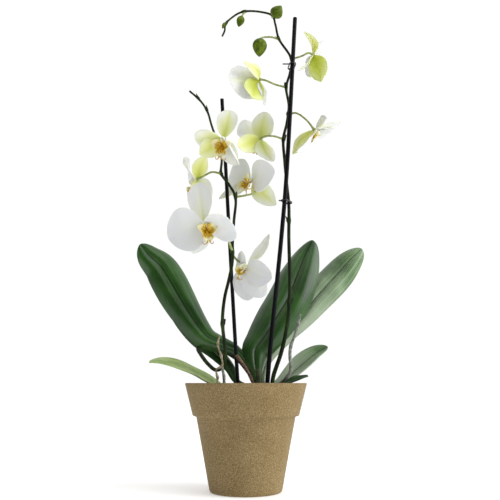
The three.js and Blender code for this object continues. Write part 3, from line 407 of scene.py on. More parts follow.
for name, (radius, points) in ROOTS.items():

    def root_radius(share, radius=radius):
        """A root swells and narrows a little as it grows, and rounds off at its free tip."""
        swell = 1 + 0.09 * math.sin(share * 23) + 0.05 * math.sin(share * 51)
        return radius * (1.05 - 0.2 * share) * swell * min(1, 0.35 + (1 - share) * 14)

    bm = bmesh.new()
    for vertex in drawn_tube(bm, Route(points), root_radius, steps=90, sides=16):
        vertex.co += noise.noise_vector(vertex.co * ROOT_LUMPS_PER_METRE) * ROOT_LUMP_DEPTH
    dry = name == "aerial_root_front"
    finish_piece(name.replace("aerial_root", "root"), bm, [dried_root if dry else velamen],
                 "dry_root" if dry else "root", name)

# ---- Leaves ----
# Seven thick strap leaves to the left and right of the crown, waxy green with a channel along the midrib.
# Each grows from a narrow folded foot, and the young one on the left is still yellow-green.

LEAF_BLADE = 0.0016
LEAF_GROOVE = 0.75
LEAF_RIPPLE = 0.0007

# route is the midline from foot to tip. It, width and foot are in millimetres. looks is the way the upper face looks
# at the foot and at the tip, fold the angle in degrees by which the halves rise, widest the share of the length where
# the leaf is broadest, and blunt how soon its ends narrow, less for a fuller leaf.
LEAVES = {
    "leaf_left_upper": {
        "route": [(8, 2, 118), (-1, 4, 135), (-12, 6, 146), (-29, 9, 153), (-43.1, 10, 159.7), (-54.4, 12, 172.7),
                  (-66.1, 15, 189.6), (-78, 19, 208.8), (-88.4, 23, 226.4), (-98.7, 27, 241.5), (-113.1, 31, 254.9),
                  (-123.4, 34, 267.9)],
        "looks": [(0.42, -0.84, 0.36), (0, -0.97, 0.1)], "width": 45, "foot": 12, "fold": -24, "widest": 0.70,
        "blunt": 0.45, "skin": "waxy",
    },
    "leaf_left_lower": {
        "route": [(8, 4, 104), (-1, 6, 106.5), (-10.4, 8, 112.1), (-17.5, 14, 126), (-27.3, 21, 137.1),
                  (-37.2, 28, 146.9), (-52.2, 34, 159.9), (-69, 40, 180.8), (-86.4, 46, 206.3),
                  (-97.7, 49, 224.9)],
        "looks": [(0.35, -0.9, 0.3), (0.3, -0.9, 0.2)], "width": 27, "foot": 8, "fold": -14, "widest": 0.66,
        "blunt": 0.55, "skin": "waxy",
    },
    "leaf_right_upper": {
        "route": [(12.8, 0, 113), (10.5, 0, 124), (9.2, 1.5, 134), (9.7, 4, 145), (17.4, 8, 156), (34, 16, 182.2),
                  (45.6, 22, 201.6), (59.9, 32, 235.5), (68.4, 38, 255.1), (78.3, 43, 274.6)],
        "looks": [(0.1, -0.97, 0.1), (-0.38, -0.91, 0.18)], "width": 54.5, "foot": 16, "fold": -22, "widest": 0.58,
        "blunt": 0.5, "skin": "waxy",
    },
    # This leaf and the small one after it wear the skin that is painted lighter, with a painted sheen towards the
    # foot.
    "leaf_right_lower": {
        "route": [(16, 8, 110), (22, 14, 132), (43.5, 26, 163.8), (63.2, 34, 185.9), (83.4, 42, 209.9),
                  (108.5, 52, 237), (123.7, 58, 254), (138.8, 63, 268.4)],
        "looks": [(-0.1, -0.95, 0.25), (-0.1, -0.95, 0.2)], "width": 41, "foot": 13, "fold": -22, "widest": 0.72,
        "blunt": 0.42, "skin": "pale",
    },
    "leaf_right_small": {
        "route": [(24, 5, 104), (37.7, 9, 110.5), (50, 14, 119.5), (63.3, 20, 130.9), (76.8, 27, 141.3),
                  (91.6, 33, 149.7)],
        "looks": [(-0.2, -0.8, 0.6), (-0.3, -0.75, 0.6)], "width": 24, "foot": 8, "fold": 26, "widest": 0.6,
        "blunt": 0.55, "skin": "pale",
    },
    "leaf_left_young": {
        "route": [(-20, 2, 103), (-34.1, 0, 109.5), (-47.5, -1, 116.2), (-62.6, -4, 123.4), (-77.6, -6, 129.2),
                  (-91.2, -8, 131.8), (-102.2, -10, 131.6)],
        "looks": [(-0.1, -0.5, 0.9), (0, -0.5, 0.9)], "width": 19, "foot": 8, "fold": 16, "widest": 0.55,
        "blunt": 0.55, "skin": "young",
    },
    "leaf_right_young": {
        "route": [(30, -8, 103), (46.1, -14, 111.1), (64.5, -20, 117.3)],
        "looks": [(0, -0.5, 0.9), (0, -0.5, 0.9)], "width": 10, "foot": 5, "fold": 15, "widest": 0.5,
        "blunt": 0.55, "skin": "waxy",
    },
}


def blade(bm, rows, columns, surface, thickness, front=0, back=0):
    """A thin closed blade bent out of a flat grid. surface(t, s) gives the point of its middle sheet and the way it
    looks there, with t from 0 at the foot to 1 at the tip and s from -1 to 1 across. The UV map keeps s and t."""
    uv = bm.loops.layers.uv.get("UVMap") or bm.loops.layers.uv.new("UVMap")
    grid = bmesh.ops.create_grid(bm, x_segments=columns, y_segments=rows, size=1)["verts"]
    faces = linked(grid, "link_faces")
    for vertex in grid:
        vertex.co.y = math.sin(math.pi / 2 * ((vertex.co.y + 1) / 2) ** 1.15)
    for face in faces:
        face.material_index = back
        for loop in face.loops:
            loop[uv].uv = ((loop.vert.co.x + 1) / 2, loop.vert.co.y)
    for vertex in grid:
        point, looks = surface(vertex.co.y, vertex.co.x)
        vertex.co = point + looks * thickness / 2
    bm.normal_update()
    bmesh.ops.solidify(bm, geom=faces, thickness=thickness)
    for face in faces:
        face.material_index = front


def blade_places(tree):
    """Where a point lies on a blade: its UV place, how far it is from the midrib, and how far up the blade."""
    strap = add(tree, "ShaderNodeUVMap", {"uv_map": "UVMap"}).outputs["UV"]
    parts = add(tree, "ShaderNodeSeparateXYZ", links={"Vector": strap})
    off_middle = add(tree, "ShaderNodeMath", {"operation": "SUBTRACT", 1: 0.5}, {0: parts.outputs["X"]})
    distance = add(tree, "ShaderNodeMath", {"operation": "ABSOLUTE"}, {0: off_middle.outputs[0]})
    return strap, distance.outputs[0], parts.outputs["Y"]


# Leaf skin is waxy, with a soft sheen, faint parallel veins 1 to 2 mm apart and a dark line of painted shade along
# the midrib groove. Two leaves on the right have a lighter skin with a painted sheen, which grows towards a greyish
# foot.
leaf_skins = {}
for name, dark, middle, light, groove_shade_hex, painted_sheen_at_foot in (
    ("waxy leaf skin", "1b3b10", "28501a", "3a6227", "0c1f06", 0.0),
    # The second skin is painted lighter than the first, as painted sheen, and fades to grey-white towards its foot.
    ("pale leaf skin", "2f4f22", "537343", "86a078", "1c3312", 0.55),
    ("young leaf skin", "76934a", "9bb26c", "c3d39c", "6d8a44", 0.0),
):
    made, tree = new_material(name)
    strap, off_midrib, up_blade = blade_places(tree)
    place = add(tree, "ShaderNodeTexCoord").outputs["Object"]
    along = add(tree, "ShaderNodeMapping", {"Scale": (34, 0.8, 1)}, {"Vector": strap})
    veins = add(tree, "ShaderNodeTexNoise", {"Scale": 1, "Detail": 3, "Roughness": 0.6},
                {"Vector": along.outputs["Vector"]})
    cloud = add(tree, "ShaderNodeTexNoise", {"Scale": 28, "Detail": 2}, {"Vector": place})
    both = add(tree, "ShaderNodeMix", {0: 0.5}, {2: veins.outputs["Fac"], 3: cloud.outputs["Fac"]})
    green = add(tree, "ShaderNodeValToRGB", links={"Fac": both.outputs[0]},
                stops=[(0.38, dark), (0.5, middle), (0.64, light)])
    # Painted shade: a dark line along the midrib, where the groove lies in shade.
    groove_shade = add(tree, "ShaderNodeMapRange", {"From Min": 0.008, "From Max": 0.03, "To Min": 0.7, "To Max": 0.0},
                 {"Value": off_midrib})
    # Painted sheen: the second skin is mixed towards a greyish white near the foot of the blade.
    painted_sheen_fade = add(tree, "ShaderNodeMapRange",
                 {"From Min": 0.4, "From Max": 0.85, "To Min": painted_sheen_at_foot, "To Max": 0.0}, {"Value": up_blade})
    sheen_painted = add(tree, "ShaderNodeMix", {"data_type": "RGBA", 7: linear("c3cfb8")},
                {0: painted_sheen_fade.outputs["Result"], 6: green.outputs["Color"]})
    groove_shaded = add(tree, "ShaderNodeMix", {"data_type": "RGBA", 7: linear(groove_shade_hex)},
                 {0: groove_shade.outputs["Result"], 6: sheen_painted.outputs[2]})
    relief = add(tree, "ShaderNodeBump", {"Strength": 0.2, "Distance": 0.0004}, {"Height": veins.outputs["Fac"]})
    shader = add(tree, "ShaderNodeBsdfPrincipled", {"Roughness": 0.5, "IOR": 1.45, "Specular IOR Level": 0.0,
                                                    "Coat Weight": 0.9, "Coat Roughness": 0.3, "Coat IOR": 1.5},
                 {"Base Color": groove_shaded.outputs[2], "Normal": relief.outputs["Normal"]})
    add(tree, "ShaderNodeOutputMaterial", links={"Surface": shader.outputs["BSDF"]})
    leaf_skins[name.split()[0]] = made

for name, leaf in LEAVES.items():
    midline = Route(leaf["route"])
    first_look, last_look = (Vector(look) for look in leaf["looks"])
    fold = math.radians(leaf["fold"])
    wave = random.Random(name).uniform(0, 6)

    def leaf_surface(t, s):
        """A channelled strap: narrow at the foot, widest past the middle, and rounded to a blunt point."""
        heading = midline.heading(t)
        looks = first_look.lerp(last_look, t)
        looks = (looks - heading * looks.dot(heading)).normalized()
        across = heading.cross(looks)
        skew = math.log(0.5) / math.log(leaf["widest"])
        full = math.sin(math.pi * t ** skew) ** leaf["blunt"] * leaf["width"] / 2
        half = max(full, leaf["foot"] / 2 * (1 - t) ** 1.5, 0.8) / 1000
        side = abs(s)
        rise = side ** 2 * math.sin(fold) + LEAF_GROOVE * side * (1 - side)
        ripple = LEAF_RIPPLE * side ** 2 * math.sin(9 * t + wave + 1.5 * s) * math.sin(math.pi * t)
        point = midline.at(t) + across * half * s * math.cos(fold) + looks * (half * rise + ripple)
        return point, looks

    bm = bmesh.new()
    blade(bm, 56, 18, leaf_surface, LEAF_BLADE)
    slot = "young_leaf" if leaf["skin"] == "young" else "leaf"
    finish_piece(f"strap_{name}", bm, [leaf_skins[leaf["skin"]]], slot, name)

# ---- Flower spikes ----
# The two flower stems arch up from between the leaves, dark green and 2 to 5 mm thick, with a bract at
# each joint. Thin pale stalks carry the blooms, and closed green buds hang at the end of the second.

# All in millimetres: the stem's route, its joints, a route for each stalk, and each bud's base, tip and width.
SPIKES = {
    "spike_1": {
        "route": [(3, 8, 121), (-8, 14, 134), (-25, 19, 144.5), (-40, 21, 149), (-50, 19, 150.5), (-52.5, 9, 147),
                  (-48.2, -4, 139.8), (-39.8, -14, 129.6), (-31, -22, 123.2), (-23.5, -27, 126.2),
                  (-20.9, -29, 135.3), (-21.9, -30, 148.5), (-24.3, -31, 172.1), (-22.4, -32, 196),
                  (-17.7, -33, 216.9), (-14.3, -34, 234.9), (-14.1, -34, 255.3),
                  (-12.8, -34, 279.3), (-11.4, -34, 305.8),
                  (-18.5, -34, 319.7), (-26.8, -32, 332.5), (-26.6, -32, 349.6), (-31.9, -32, 369.5),
                  (-37.8, -33, 387.3), (-43, -35, 403.9), (-51.1, -38, 415.3), (-62.2, -42, 424.1)],
        "joints": [(-24.1, -31, 170), (-14.2, -34, 245), (-11.4, -34, 305.8), (-26.8, -32, 332.5),
                   (-30, -32.2, 366), (-44, -35.2, 405), (-53, -38.5, 417)],
        "stalks": [
            [(-14.6, -35, 247), (-20, -38, 260), (-32, -44, 270), (-43.4, -56.9, 271.1)],
            [(-14.2, -33, 243), (-8, -31, 236), (1, -31, 231.5), (2, -37.3, 229.7)],
            [(-30, -32.5, 366), (-28, -38, 369.5), (-25, -45, 368.5), (-23.8, -51, 365.1)],
            [(-27, -32, 332.5), (-37, -33, 334), (-47, -31, 329.5), (-53, -28.4, 327.4)],
            [(-11.4, -34, 305.8), (0, -31, 308.5), (8.5, -23, 313.5), (10.5, -16, 321), (7.2, -19.1, 328.1)],
        ],
        "buds": [],
    },
    "spike_2": {
        "route": [(27.4, -5, 100), (28.6, -6, 115.2), (37.8, -7, 142.7), (44.3, -7, 171.9), (47.4, -7, 208.4),
                  (47.1, -7, 269.1), (47.5, -7, 303.2), (45.2, -6, 332.6), (43.5, -5, 356.4), (42.3, -4, 382.6),
                  (46.6, -3, 402.7), (49.2, -2, 423.9), (46.4, -2, 447.1), (50.8, -3, 464.3), (52.7, -3, 482),
                  (38.4, 1, 510.5), (34.6, 3, 530), (31, 6, 543.6), (19, 7, 548.6), (1.2, 8, 550.6),
                  (-8.4, 8, 548.3), (-18.5, 7, 540.5), (-25.1, 6, 532.5), (-26, 5, 523), (-28.8, 4, 515.4)],
        "joints": [(46.2, -7, 195), (47.3, -7, 286), (42.3, -4, 382.6), (48.5, -2.5, 413.5), (46.4, -2, 447.1),
                   (52.7, -3, 482), (37.6, 1, 510.5), (31, 6, 541), (-2, 8, 550), (-24, 6, 534)],
        "stalks": [
            [(42.3, -4, 382.6), (33, -4, 386), (23, 0, 388), (16.4, 6.9, 387.6)],
            [(46.4, -2, 447.1), (34, -3, 450), (22, -6, 454), (15.5, -2.9, 456.6)],
            [(52.7, -3, 482), (65, -4, 485.5), (73, -3, 490), (78.6, 1.1, 490.2)],
            [(48.5, -2.5, 413.5), (57, -6, 413.5), (68, -12, 403), (76.7, -14.3, 390.2)],
            [(37.6, 1, 510), (30, 0, 511.8), (20, -1, 511), (16.2, -2, 508.5), (15.8, -2.3, 501.5)],
            [(30.6, 5, 540), (31.5, 4, 541), (32, 4, 540), (35, 2.8, 543.9)],
            [(-2, 8, 549), (-4, 7, 546), (-5.5, 6, 542.5), (-6.7, 5.4, 538)],
            [(-24, 6, 533), (-26, 6, 533.5), (-26, 6, 534), (-26.8, 5.4, 531.3)],
        ],
        "buds": [
            [(16.2, -2, 508.5), (15, -3, 485), 17],
            [(32, 4, 540), (42, 0, 553), 15.5],
            [(-5.5, 6, 542.5), (-9.5, 4, 527.5), 9.5],
            [(-26, 6, 534), (-28.8, 4, 525), 4.2],
        ],
    },
}
STALK_RADIUS = 0.00115
SPIKE_FOOT_RADIUS = 0.0023
SPIKE_TIP_RADIUS = 0.0011
JOINT_SWELLING = 0.35
JOINT_REACH = 0.0028
BRACT_THICKNESS = 0.0004
BRACT_LENGTH = 0.0062
BRACT_TURN = 2.4
BUD_STEPS = 26
BUD_SEAMS = (0.4, 2.5, 4.6)
BUD_SEAM_DEPTH = 0.07
SEARCH_STEPS = 400

# The stem's skin is smooth and slightly waxy, with streaks along it from near-black to dark green.
stem_skin = mottled(
    "flower stem skin", {"Scale": 1, "Detail": 3}, [(0.34, "10120a"), (0.5, "1b2a0e"), (0.68, "37491c")],
    {"Roughness": 0.5, "IOR": 1.4, "Specular IOR Level": 0.2},
    relief={"Strength": 0.25, "Distance": 0.0003}, stretch=(420, 420, 40),
)

# Young bloom stalks are soft and pale yellow-green, a little see-through to light.
stalk_skin = mottled(
    "bloom stalk skin", {"Scale": 260, "Detail": 3}, [(0.35, "7a8748"), (0.5, "98a462"), (0.68, "b4bc80")],
    {"Roughness": 0.5, "IOR": 1.4, "Subsurface Weight": 0.2, "Subsurface Scale": 0.0015},
)

# A closed bud is firm and dull, olive green and faintly mottled.
bud_skin = mottled(
    "closed bud skin", {"Scale": 170, "Detail": 3}, [(0.33, "42540a"), (0.5, "566a0e"), (0.68, "788a26")],
    {"Roughness": 0.5, "IOR": 1.4, "Specular IOR Level": 0.2},
)

for name, spike in SPIKES.items():
    bm = bmesh.new()
    stem = Route(spike["route"])
    shares = [step / SEARCH_STEPS for step in range(SEARCH_STEPS + 1)]
    swellings = []
    for joint in spike["joints"]:
        swellings.append(min(shares, key=lambda share: (stem.at(share) - Vector(joint) / 1000).length))

    def stem_radius(share):
        """The stem tapers upward and swells at each joint, over about 5 mm."""
        plain = SPIKE_FOOT_RADIUS + (SPIKE_TIP_RADIUS - SPIKE_FOOT_RADIUS) * share
        near = min(abs(share - spot) for spot in swellings) * stem.lengths[-1]
        return plain * (1 + JOINT_SWELLING * math.exp(-(near / JOINT_REACH) ** 2))

    drawn_tube(bm, stem, stem_radius, steps=200, sides=14)
    for index, spot in enumerate(swellings):
        heading = stem.heading(spot)
        spin = Matrix.Rotation(index * BRACT_TURN, 3, heading)
        out = spin @ heading.orthogonal().normalized()
        foot = stem.at(spot)
        size = stem_radius(spot)

        def bract(t, s):
            """A short pointed scale that clasps the joint and stands off at its tip."""
            angle = s * 1.5 * (1 - t) ** 0.7
            bulge = size * (1.12 + 0.5 * t * t)
            side = heading.cross(out)
            way = out * math.cos(angle) + side * math.sin(angle)
            return foot + heading * (t * BRACT_LENGTH - 0.001) + way * bulge, way

        blade(bm, 8, 8, bract, BRACT_THICKNESS)
    for points in spike["stalks"]:

        def stalk_radius(share):
            """A bloom stalk is thicker at both ends, where it leaves the stem and where it meets the bloom."""
            ends = math.exp(-share / 0.08) * 0.35 + math.exp(-(1 - share) / 0.07) * 0.8
            return STALK_RADIUS * (0.95 + ends)

        drawn_tube(bm, Route(points), stalk_radius, steps=36, sides=12, material=1)
    for base, tip, width in spike["buds"]:
        base, tip = Vector(base) / 1000, Vector(tip) / 1000
        axis = tip - base
        shares = [step / BUD_STEPS for step in range(1, BUD_STEPS)]
        sides = [(width / 2000 * math.sin(math.pi * share ** 0.72) ** 0.8, share * axis.length) for share in shares]
        made = turned(bm, [(0, 0), *sides, (0, axis.length)], 48)
        for vertex in made:
            angle = math.atan2(vertex.co.y, vertex.co.x)
            seam = min(abs((angle - crease + math.pi) % (2 * math.pi) - math.pi) for crease in BUD_SEAMS)
            pinch = 1 - BUD_SEAM_DEPTH * math.exp(-(seam / 0.13) ** 2)
            vertex.co = Vector((vertex.co.x * pinch, vertex.co.y * pinch, vertex.co.z))
        turn = axis.to_track_quat("Z", "Y").to_matrix().to_4x4()
        bmesh.ops.transform(bm, matrix=Matrix.Translation(base) @ turn, verts=made)
        for face in linked(made, "link_faces"):
            face.material_index = 2
    finish_piece(name.replace("spike", "flower_spike"), bm, [stem_skin, stalk_skin, bud_skin], "flower_stem", name)

# ---- Dry sheath ----
# A withered bract that stands in front of the first spike as a thin crumpled strip, rolled up along its
# length, straw-brown and papery.

SHEATH_ROUTE = Route([(-30, -38, 101), (-28.5, -38, 115), (-30, -38, 123), (-24, -38, 127), (-24.5, -38, 135),
                      (-28.5, -37, 148), (-27, -37, 158)])
SHEATH_RADIUS = 0.0011
SHEATH_CRUMPLES_PER_METRE = 260
SHEATH_CRUMPLE_DEPTH = 0.0004

# Dry bract tissue is papery and creased, mottled from dark to pale straw.
dry_bract = mottled(
    "dry papery bract", {"Scale": 240, "Detail": 4, "Roughness": 0.7},
    [(0.32, "5a4d38"), (0.5, "8a7f66"), (0.7, "b5aa8e")], {"Roughness": 0.85, "IOR": 1.4},
    relief={"Strength": 0.6, "Distance": 0.0005},
)


def sheath_radius(share):
    """The rolled strip pinches and swells along its length."""
    return SHEATH_RADIUS * (1 + 0.3 * math.sin(share * 31))


bm = bmesh.new()
for vertex in drawn_tube(bm, SHEATH_ROUTE, sheath_radius, steps=90, sides=10):
    vertex.co += noise.noise_vector(vertex.co * SHEATH_CRUMPLES_PER_METRE) * SHEATH_CRUMPLE_DEPTH
finish_piece("withered_bract", bm, [dry_bract], "dry_sheath", "dry_sheath")

# ---- Blooms ----
# Nine open moth orchid blooms. Each has three narrow sepals behind two broad petals, white with
# yellow-green middles and backs, soft and slightly rippled, round a small white column.

TEPAL_THICKNESS = 0.0007
TEPAL_BOW = 0.07
TEPAL_RIPPLE = 0.0007
TEPAL_FRILL = 0.0003
TEPAL_GROOVE = 0.0005

# What petals and sepals usually are: breadth is the full width, widest the share of the length where it lies, blunt
# how soon the ends narrow, least the half width left at the foot and the tip, cup how far the sides come forward,
# layer how far the blade lies in front of the bloom's middle, and skins the materials of the front and the back.
PETAL = {"breadth": 0.043, "widest": 0.45, "blunt": 0.55, "least": 0.0016, "cup": 0.12, "layer": 0.0008,
         "skins": (0, 1)}
SEPAL = {"breadth": 0.025, "widest": 0.47, "blunt": 0.65, "least": 0.0012, "cup": 0.10, "layer": -0.0008,
         "skins": (2, 3)}

# centre is in millimetres, faces is the way the bloom looks, lip moves its lip by so many millimetres, and lip_size
# is how large a smaller lip is. For each blade, reach runs from the bloom's middle to its tip in millimetres, width
# is a share of the usual breadth, looks is the way its front faces where that isn't the bloom's own way, turns the
# way it has twisted to at the tip, and bend how far its middle bows out. widest, blunt and skins replace the usual
# ones. The first sepal is the upper one.
BLOOMS = [
    {
        "centre": (-43, -58, 270.7), "faces": (0.3, -0.9, -0.35), "lip": (1.5, -1, -3),
        "petals": [
            {"reach": (-37, 4, -14), "width": 1.08, "looks": (-0.25, -0.92, -0.2)},
            {"reach": (34, -8, -15), "width": 0.76, "looks": (-0.1, -0.3, -0.95), "turns": (0.1, -0.8, -0.6),
             "bend": (0, -4, 6), "blunt": 0.45},
        ],
        "sepals": [
            {"reach": (-7, 4, 45), "width": 1.05, "looks": (-0.1, -0.95, -0.2), "widest": 0.6, "blunt": 0.55},
            {"reach": (-12, 20, -28), "width": 0.9},
            {"reach": (2, 32, -14), "width": 0.9},
        ],
    },
    {
        "centre": (1, -38, 229.5), "faces": (-0.8, -0.55, -0.15), "lip": (0, 0, 0), "lip_size": 0.7,
        "petals": [
            {"reach": (26, -31, -17), "width": 0.64, "looks": (-0.5, -0.8, -0.1), "bend": (2, 0, -3)},
            {"reach": (-9, 12, 12), "width": 0.6},
        ],
        "sepals": [
            {"reach": (23.5, 6, 36), "width": 0.55, "looks": (-0.5, -0.75, 0.3), "bend": (4, 0, -2)},
            {"reach": (-1, 14, -34), "width": 1.15, "looks": (-0.4, -0.85, -0.2), "skins": (0, 0), "blunt": 0.5},
            {"reach": (17, 2, -32), "width": 1.15, "looks": (-0.4, -0.85, -0.2), "skins": (0, 0), "blunt": 0.5},
        ],
    },
    {
        "centre": (-24, -52, 364.5), "faces": (-0.2, -0.82, -0.5), "lip": (0, -1, -3.5),
        "petals": [
            {"reach": (-31, 10, 5), "width": 0.9, "looks": (-0.15, -0.35, -0.92), "skins": (4, 4)},
            {"reach": (17, -16, -31), "width": 0.75, "looks": (-0.6, 0, -0.45), "bend": (4, 0, 2)},
        ],
        "sepals": [
            {"reach": (6.5, 8, 36.5), "width": 0.92, "looks": (0, -0.95, 0.1), "widest": 0.6, "blunt": 0.5,
             "skins": (4, 4)},
            {"reach": (-26, 10, -14), "width": 0.9, "looks": (-0.2, -0.85, -0.4), "skins": (3, 3)},
            {"reach": (12, 16, -24), "width": 0.8},
        ],
    },
    {
        "centre": (-54, -28, 327), "faces": (-0.85, 0.35, -0.35), "lip": (-2, 0, -5), "lip_size": 0.6,
        "petals": [
            {"reach": (12, 26, -24), "width": 0.75, "looks": (-0.5, 0.75, 0.3)},
            {"reach": (-9.5, 22, 31), "width": 0.65, "looks": (-0.95, 0.05, -0.25), "bend": (-3, 0, 0)},
        ],
        "sepals": [
            {"reach": (10, -10, 24), "width": 0.78, "looks": (-0.6, 0.75, 0.2)},
            {"reach": (-3, 26, -25), "width": 0.8},
            {"reach": (5, -8, -34), "width": 0.8},
        ],
    },
    {
        "centre": (6.5, -20, 328), "faces": (-0.6, -0.78, -0.05), "lip": (-4, 0, -2),
        "petals": [
            {"reach": (-25, 31, 16), "width": 1},
            {"reach": (25, -26, 3), "width": 0.82},
        ],
        "sepals": [
            {"reach": (6, 28, 19), "width": 0.9},
            {"reach": (-37, 14, -16), "width": 0.42},
            {"reach": (26, -6, -29), "width": 0.95, "skins": (4, 4)},
        ],
    },
    {
        "centre": (15.9, 8, 387.5), "faces": (-0.45, 0.88, -0.1), "lip": (0, 0, 0), "lip_size": 0.8,
        "petals": [
            {"reach": (-18, 14, 30), "width": 0.85},
            {"reach": (12, 30, -10), "width": 0.6},
        ],
        "sepals": [
            {"reach": (7, -10, 29), "width": 1.05, "looks": (-0.1, 0.9, 0.3), "skins": (2, 4), "blunt": 0.5},
            {"reach": (-25, -14, -15), "width": 0.9, "blunt": 0.5},
            {"reach": (14, -9, -31), "width": 0.95, "skins": (2, 4)},
        ],
    },
    {
        "centre": (14.8, -2, 456.3), "faces": (-0.6, 0.75, -0.25), "lip": (0, 0, 0),
        "petals": [
            {"reach": (-34, -14, -5), "width": 1.1},
            {"reach": (8, 10, -27), "width": 0.5, "looks": (-0.85, 0.45, -0.2), "bend": (4.5, 0, 2)},
        ],
        "sepals": [
            {"reach": (-18, -14, 15), "width": 0.75, "bend": (7, 0, 2)},
            {"reach": (-8, 22, -14), "width": 0.6},
            {"reach": (-8, -14, -29), "width": 1.15, "skins": (2, 5)},
        ],
    },
    {
        "centre": (79.3, 2, 490), "faces": (0.6, 0.75, -0.2), "lip": (1, 2.5, -1), "lip_size": 0.8,
        "petals": [
            {"reach": (13, 24, 2), "width": 1.0, "looks": (0.9, 0.1, 0.1), "bend": (5, 0, 0)},
            {"reach": (-6, 14, -21), "width": 0.7},
        ],
        "sepals": [
            {"reach": (-10.5, -6, 26.5), "width": 0.4, "bend": (6, 0, 0)},
            {"reach": (-18, -10, -25), "width": 0.6, "looks": (0.75, 0.1, -0.6)},
            {"reach": (8, -6, -37), "width": 1.0, "widest": 0.42, "blunt": 0.75, "skins": (2, 5)},
        ],
    },
    {
        "centre": (77.5, -14, 389.4), "faces": (0.68, 0.25, -0.69), "lip": (-2, 1, 3), "lip_size": 0.6,
        "petals": [
            {"reach": (-22, -14, -29), "width": 0.58, "looks": (0.75, -0.05, -0.62)},
            {"reach": (8.5, 16, 24.5), "width": 0.5, "looks": (0.8, 0.4, -0.4)},
        ],
        "sepals": [
            {"reach": (31, 6, 12), "width": 0.95, "looks": (0.45, -0.1, -0.85)},
            {"reach": (-24, 10, -25), "width": 0.9, "looks": (0.5, 0.7, -0.5), "bend": (-4, 0, 4)},
            {"reach": (22, 24, 7), "width": 0.8},
        ],
    },
]


def tepal(bm, centre, shape, draw):
    """One petal or sepal: a narrow claw, a broad blunt blade that bows forward, cupped and rippled at its sides."""
    reach = Vector(shape["reach"]) / 1000
    length = reach.length
    along = reach.normalized()
    first_look = Vector(shape["looks"]).normalized()
    last_look = Vector(shape.get("turns", first_look)).normalized()
    bend = Vector(shape.get("bend", (0, 0, 0))) / 1000
    skew = math.log(0.5) / math.log(shape["widest"])
    broadest = shape["breadth"] * shape["width"] / 2
    phase, other = draw.uniform(0, 6), draw.uniform(0, 6)

    def surface(t, s):
        """The blade's middle sheet, and the way it looks there."""
        looks = first_look.lerp(last_look, t)
        looks = (looks - along * looks.dot(along)).normalized()
        across = along.cross(looks)
        swell = math.sin(math.pi * t)
        claw = 1 - math.exp(-t / 0.06)
        half = max(broadest * math.sin(math.pi * t ** skew) ** shape["blunt"] * claw, shape["least"])
        ripple = TEPAL_RIPPLE * s * s * math.sin(8 * t + phase + s)
        ripple += TEPAL_FRILL * math.sin(17 * t + other) * abs(s) ** 3
        groove = TEPAL_GROOVE * math.exp(-(s / 0.1) ** 2) * swell
        rise = TEPAL_BOW * length * swell + shape["cup"] * half * s * s + shape["layer"] + ripple * swell - groove
        return centre + along * length * t + across * half * s + looks * rise + bend * swell, looks

    blade(bm, 30, 16, surface, TEPAL_THICKNESS, *shape["skins"])


# Petal tissue is soft, with no shine: water-filled cells scatter light under a thin skin, over about the blade's
# thickness. Fine veins run from the claw to the rim. White fades to yellow-green at the claw, and sepals are greener,
# most of all at their backs.
tissue = {}
for name, rim, middle, claw, spread in (
    ("white petal front", "dfe1e3", "dee1de", "dbdfbb", 0.10),
    ("petal back", "e4e6e2", "e0e3c6", "d0d686", 0.25),
    ("sepal front", "e1e3e1", "dfe2d2", "d2d79e", 0.20),
    ("green sepal back", "eef2c6", "e6ea96", "d2d86a", 0.40),
    ("flushed sepal", "e2e5da", "dadeaa", "c8cf72", 0.42),
    ("deep green sepal back", "dfe6a0", "d0d968", "bac540", 0.45),
):
    made, tree = new_material(name)
    strap, off_midrib, up_blade = blade_places(tree)
    veins = add(tree, "ShaderNodeMapping", {"Scale": (34, 2.2, 1)}, {"Vector": strap})
    lines = add(tree, "ShaderNodeTexNoise", {"Scale": 1, "Detail": 2}, {"Vector": veins.outputs["Vector"]})
    sideways = add(tree, "ShaderNodeMath", {"operation": "MULTIPLY", 1: 1.2}, {0: off_midrib})
    outward = add(tree, "ShaderNodeMath", {"operation": "MULTIPLY_ADD", 1: 0.75},
                  {0: up_blade, 2: sideways.outputs[0]})
    shaken = add(tree, "ShaderNodeMath", {"operation": "MULTIPLY_ADD", 1: 0.16},
                 {0: lines.outputs["Fac"], 2: outward.outputs[0]})
    colour = add(tree, "ShaderNodeValToRGB", links={"Fac": shaken.outputs[0]},
                 stops=[(spread * 0.6, claw), (spread + 0.22, middle), (min(spread + 0.62, 0.98), rim)])
    relief = add(tree, "ShaderNodeBump", {"Strength": 0.12, "Distance": 0.0003}, {"Height": lines.outputs["Fac"]})
    shader = add(tree, "ShaderNodeBsdfPrincipled",
                 {"Roughness": 0.65, "IOR": 1.38, "Specular IOR Level": 0.2, "Subsurface Weight": 0.85,
                  "Subsurface Scale": 0.001, "Subsurface Radius": (1.0, 0.95, 0.8)},
                 {"Base Color": colour.outputs["Color"], "Normal": relief.outputs["Normal"]})
    add(tree, "ShaderNodeOutputMaterial", links={"Surface": shader.outputs["BSDF"]})
    tissue[name] = made

# The column is dense and waxy, cream white and faintly mottled.
column_wax = mottled(
    "waxy column", {"Scale": 300, "Detail": 2}, [(0.35, "d9d59a"), (0.55, "ecebd2"), (0.75, "f5f4ea")],
    {"Roughness": 0.45, "IOR": 1.4, "Subsurface Weight": 0.2, "Subsurface Scale": 0.0015},
)
COLUMN_SKIN = len(tissue)


# The column and the anther at its end, in millimetres to the right, up and forward of the bloom's middle.
COLUMN = ((0, 0, -0.6), (0, 0.5, 3), (0, -0.5, 7.4))
COLUMN_RADIUS = 0.0028
ANTHER = (0, 0.1, 7.2)


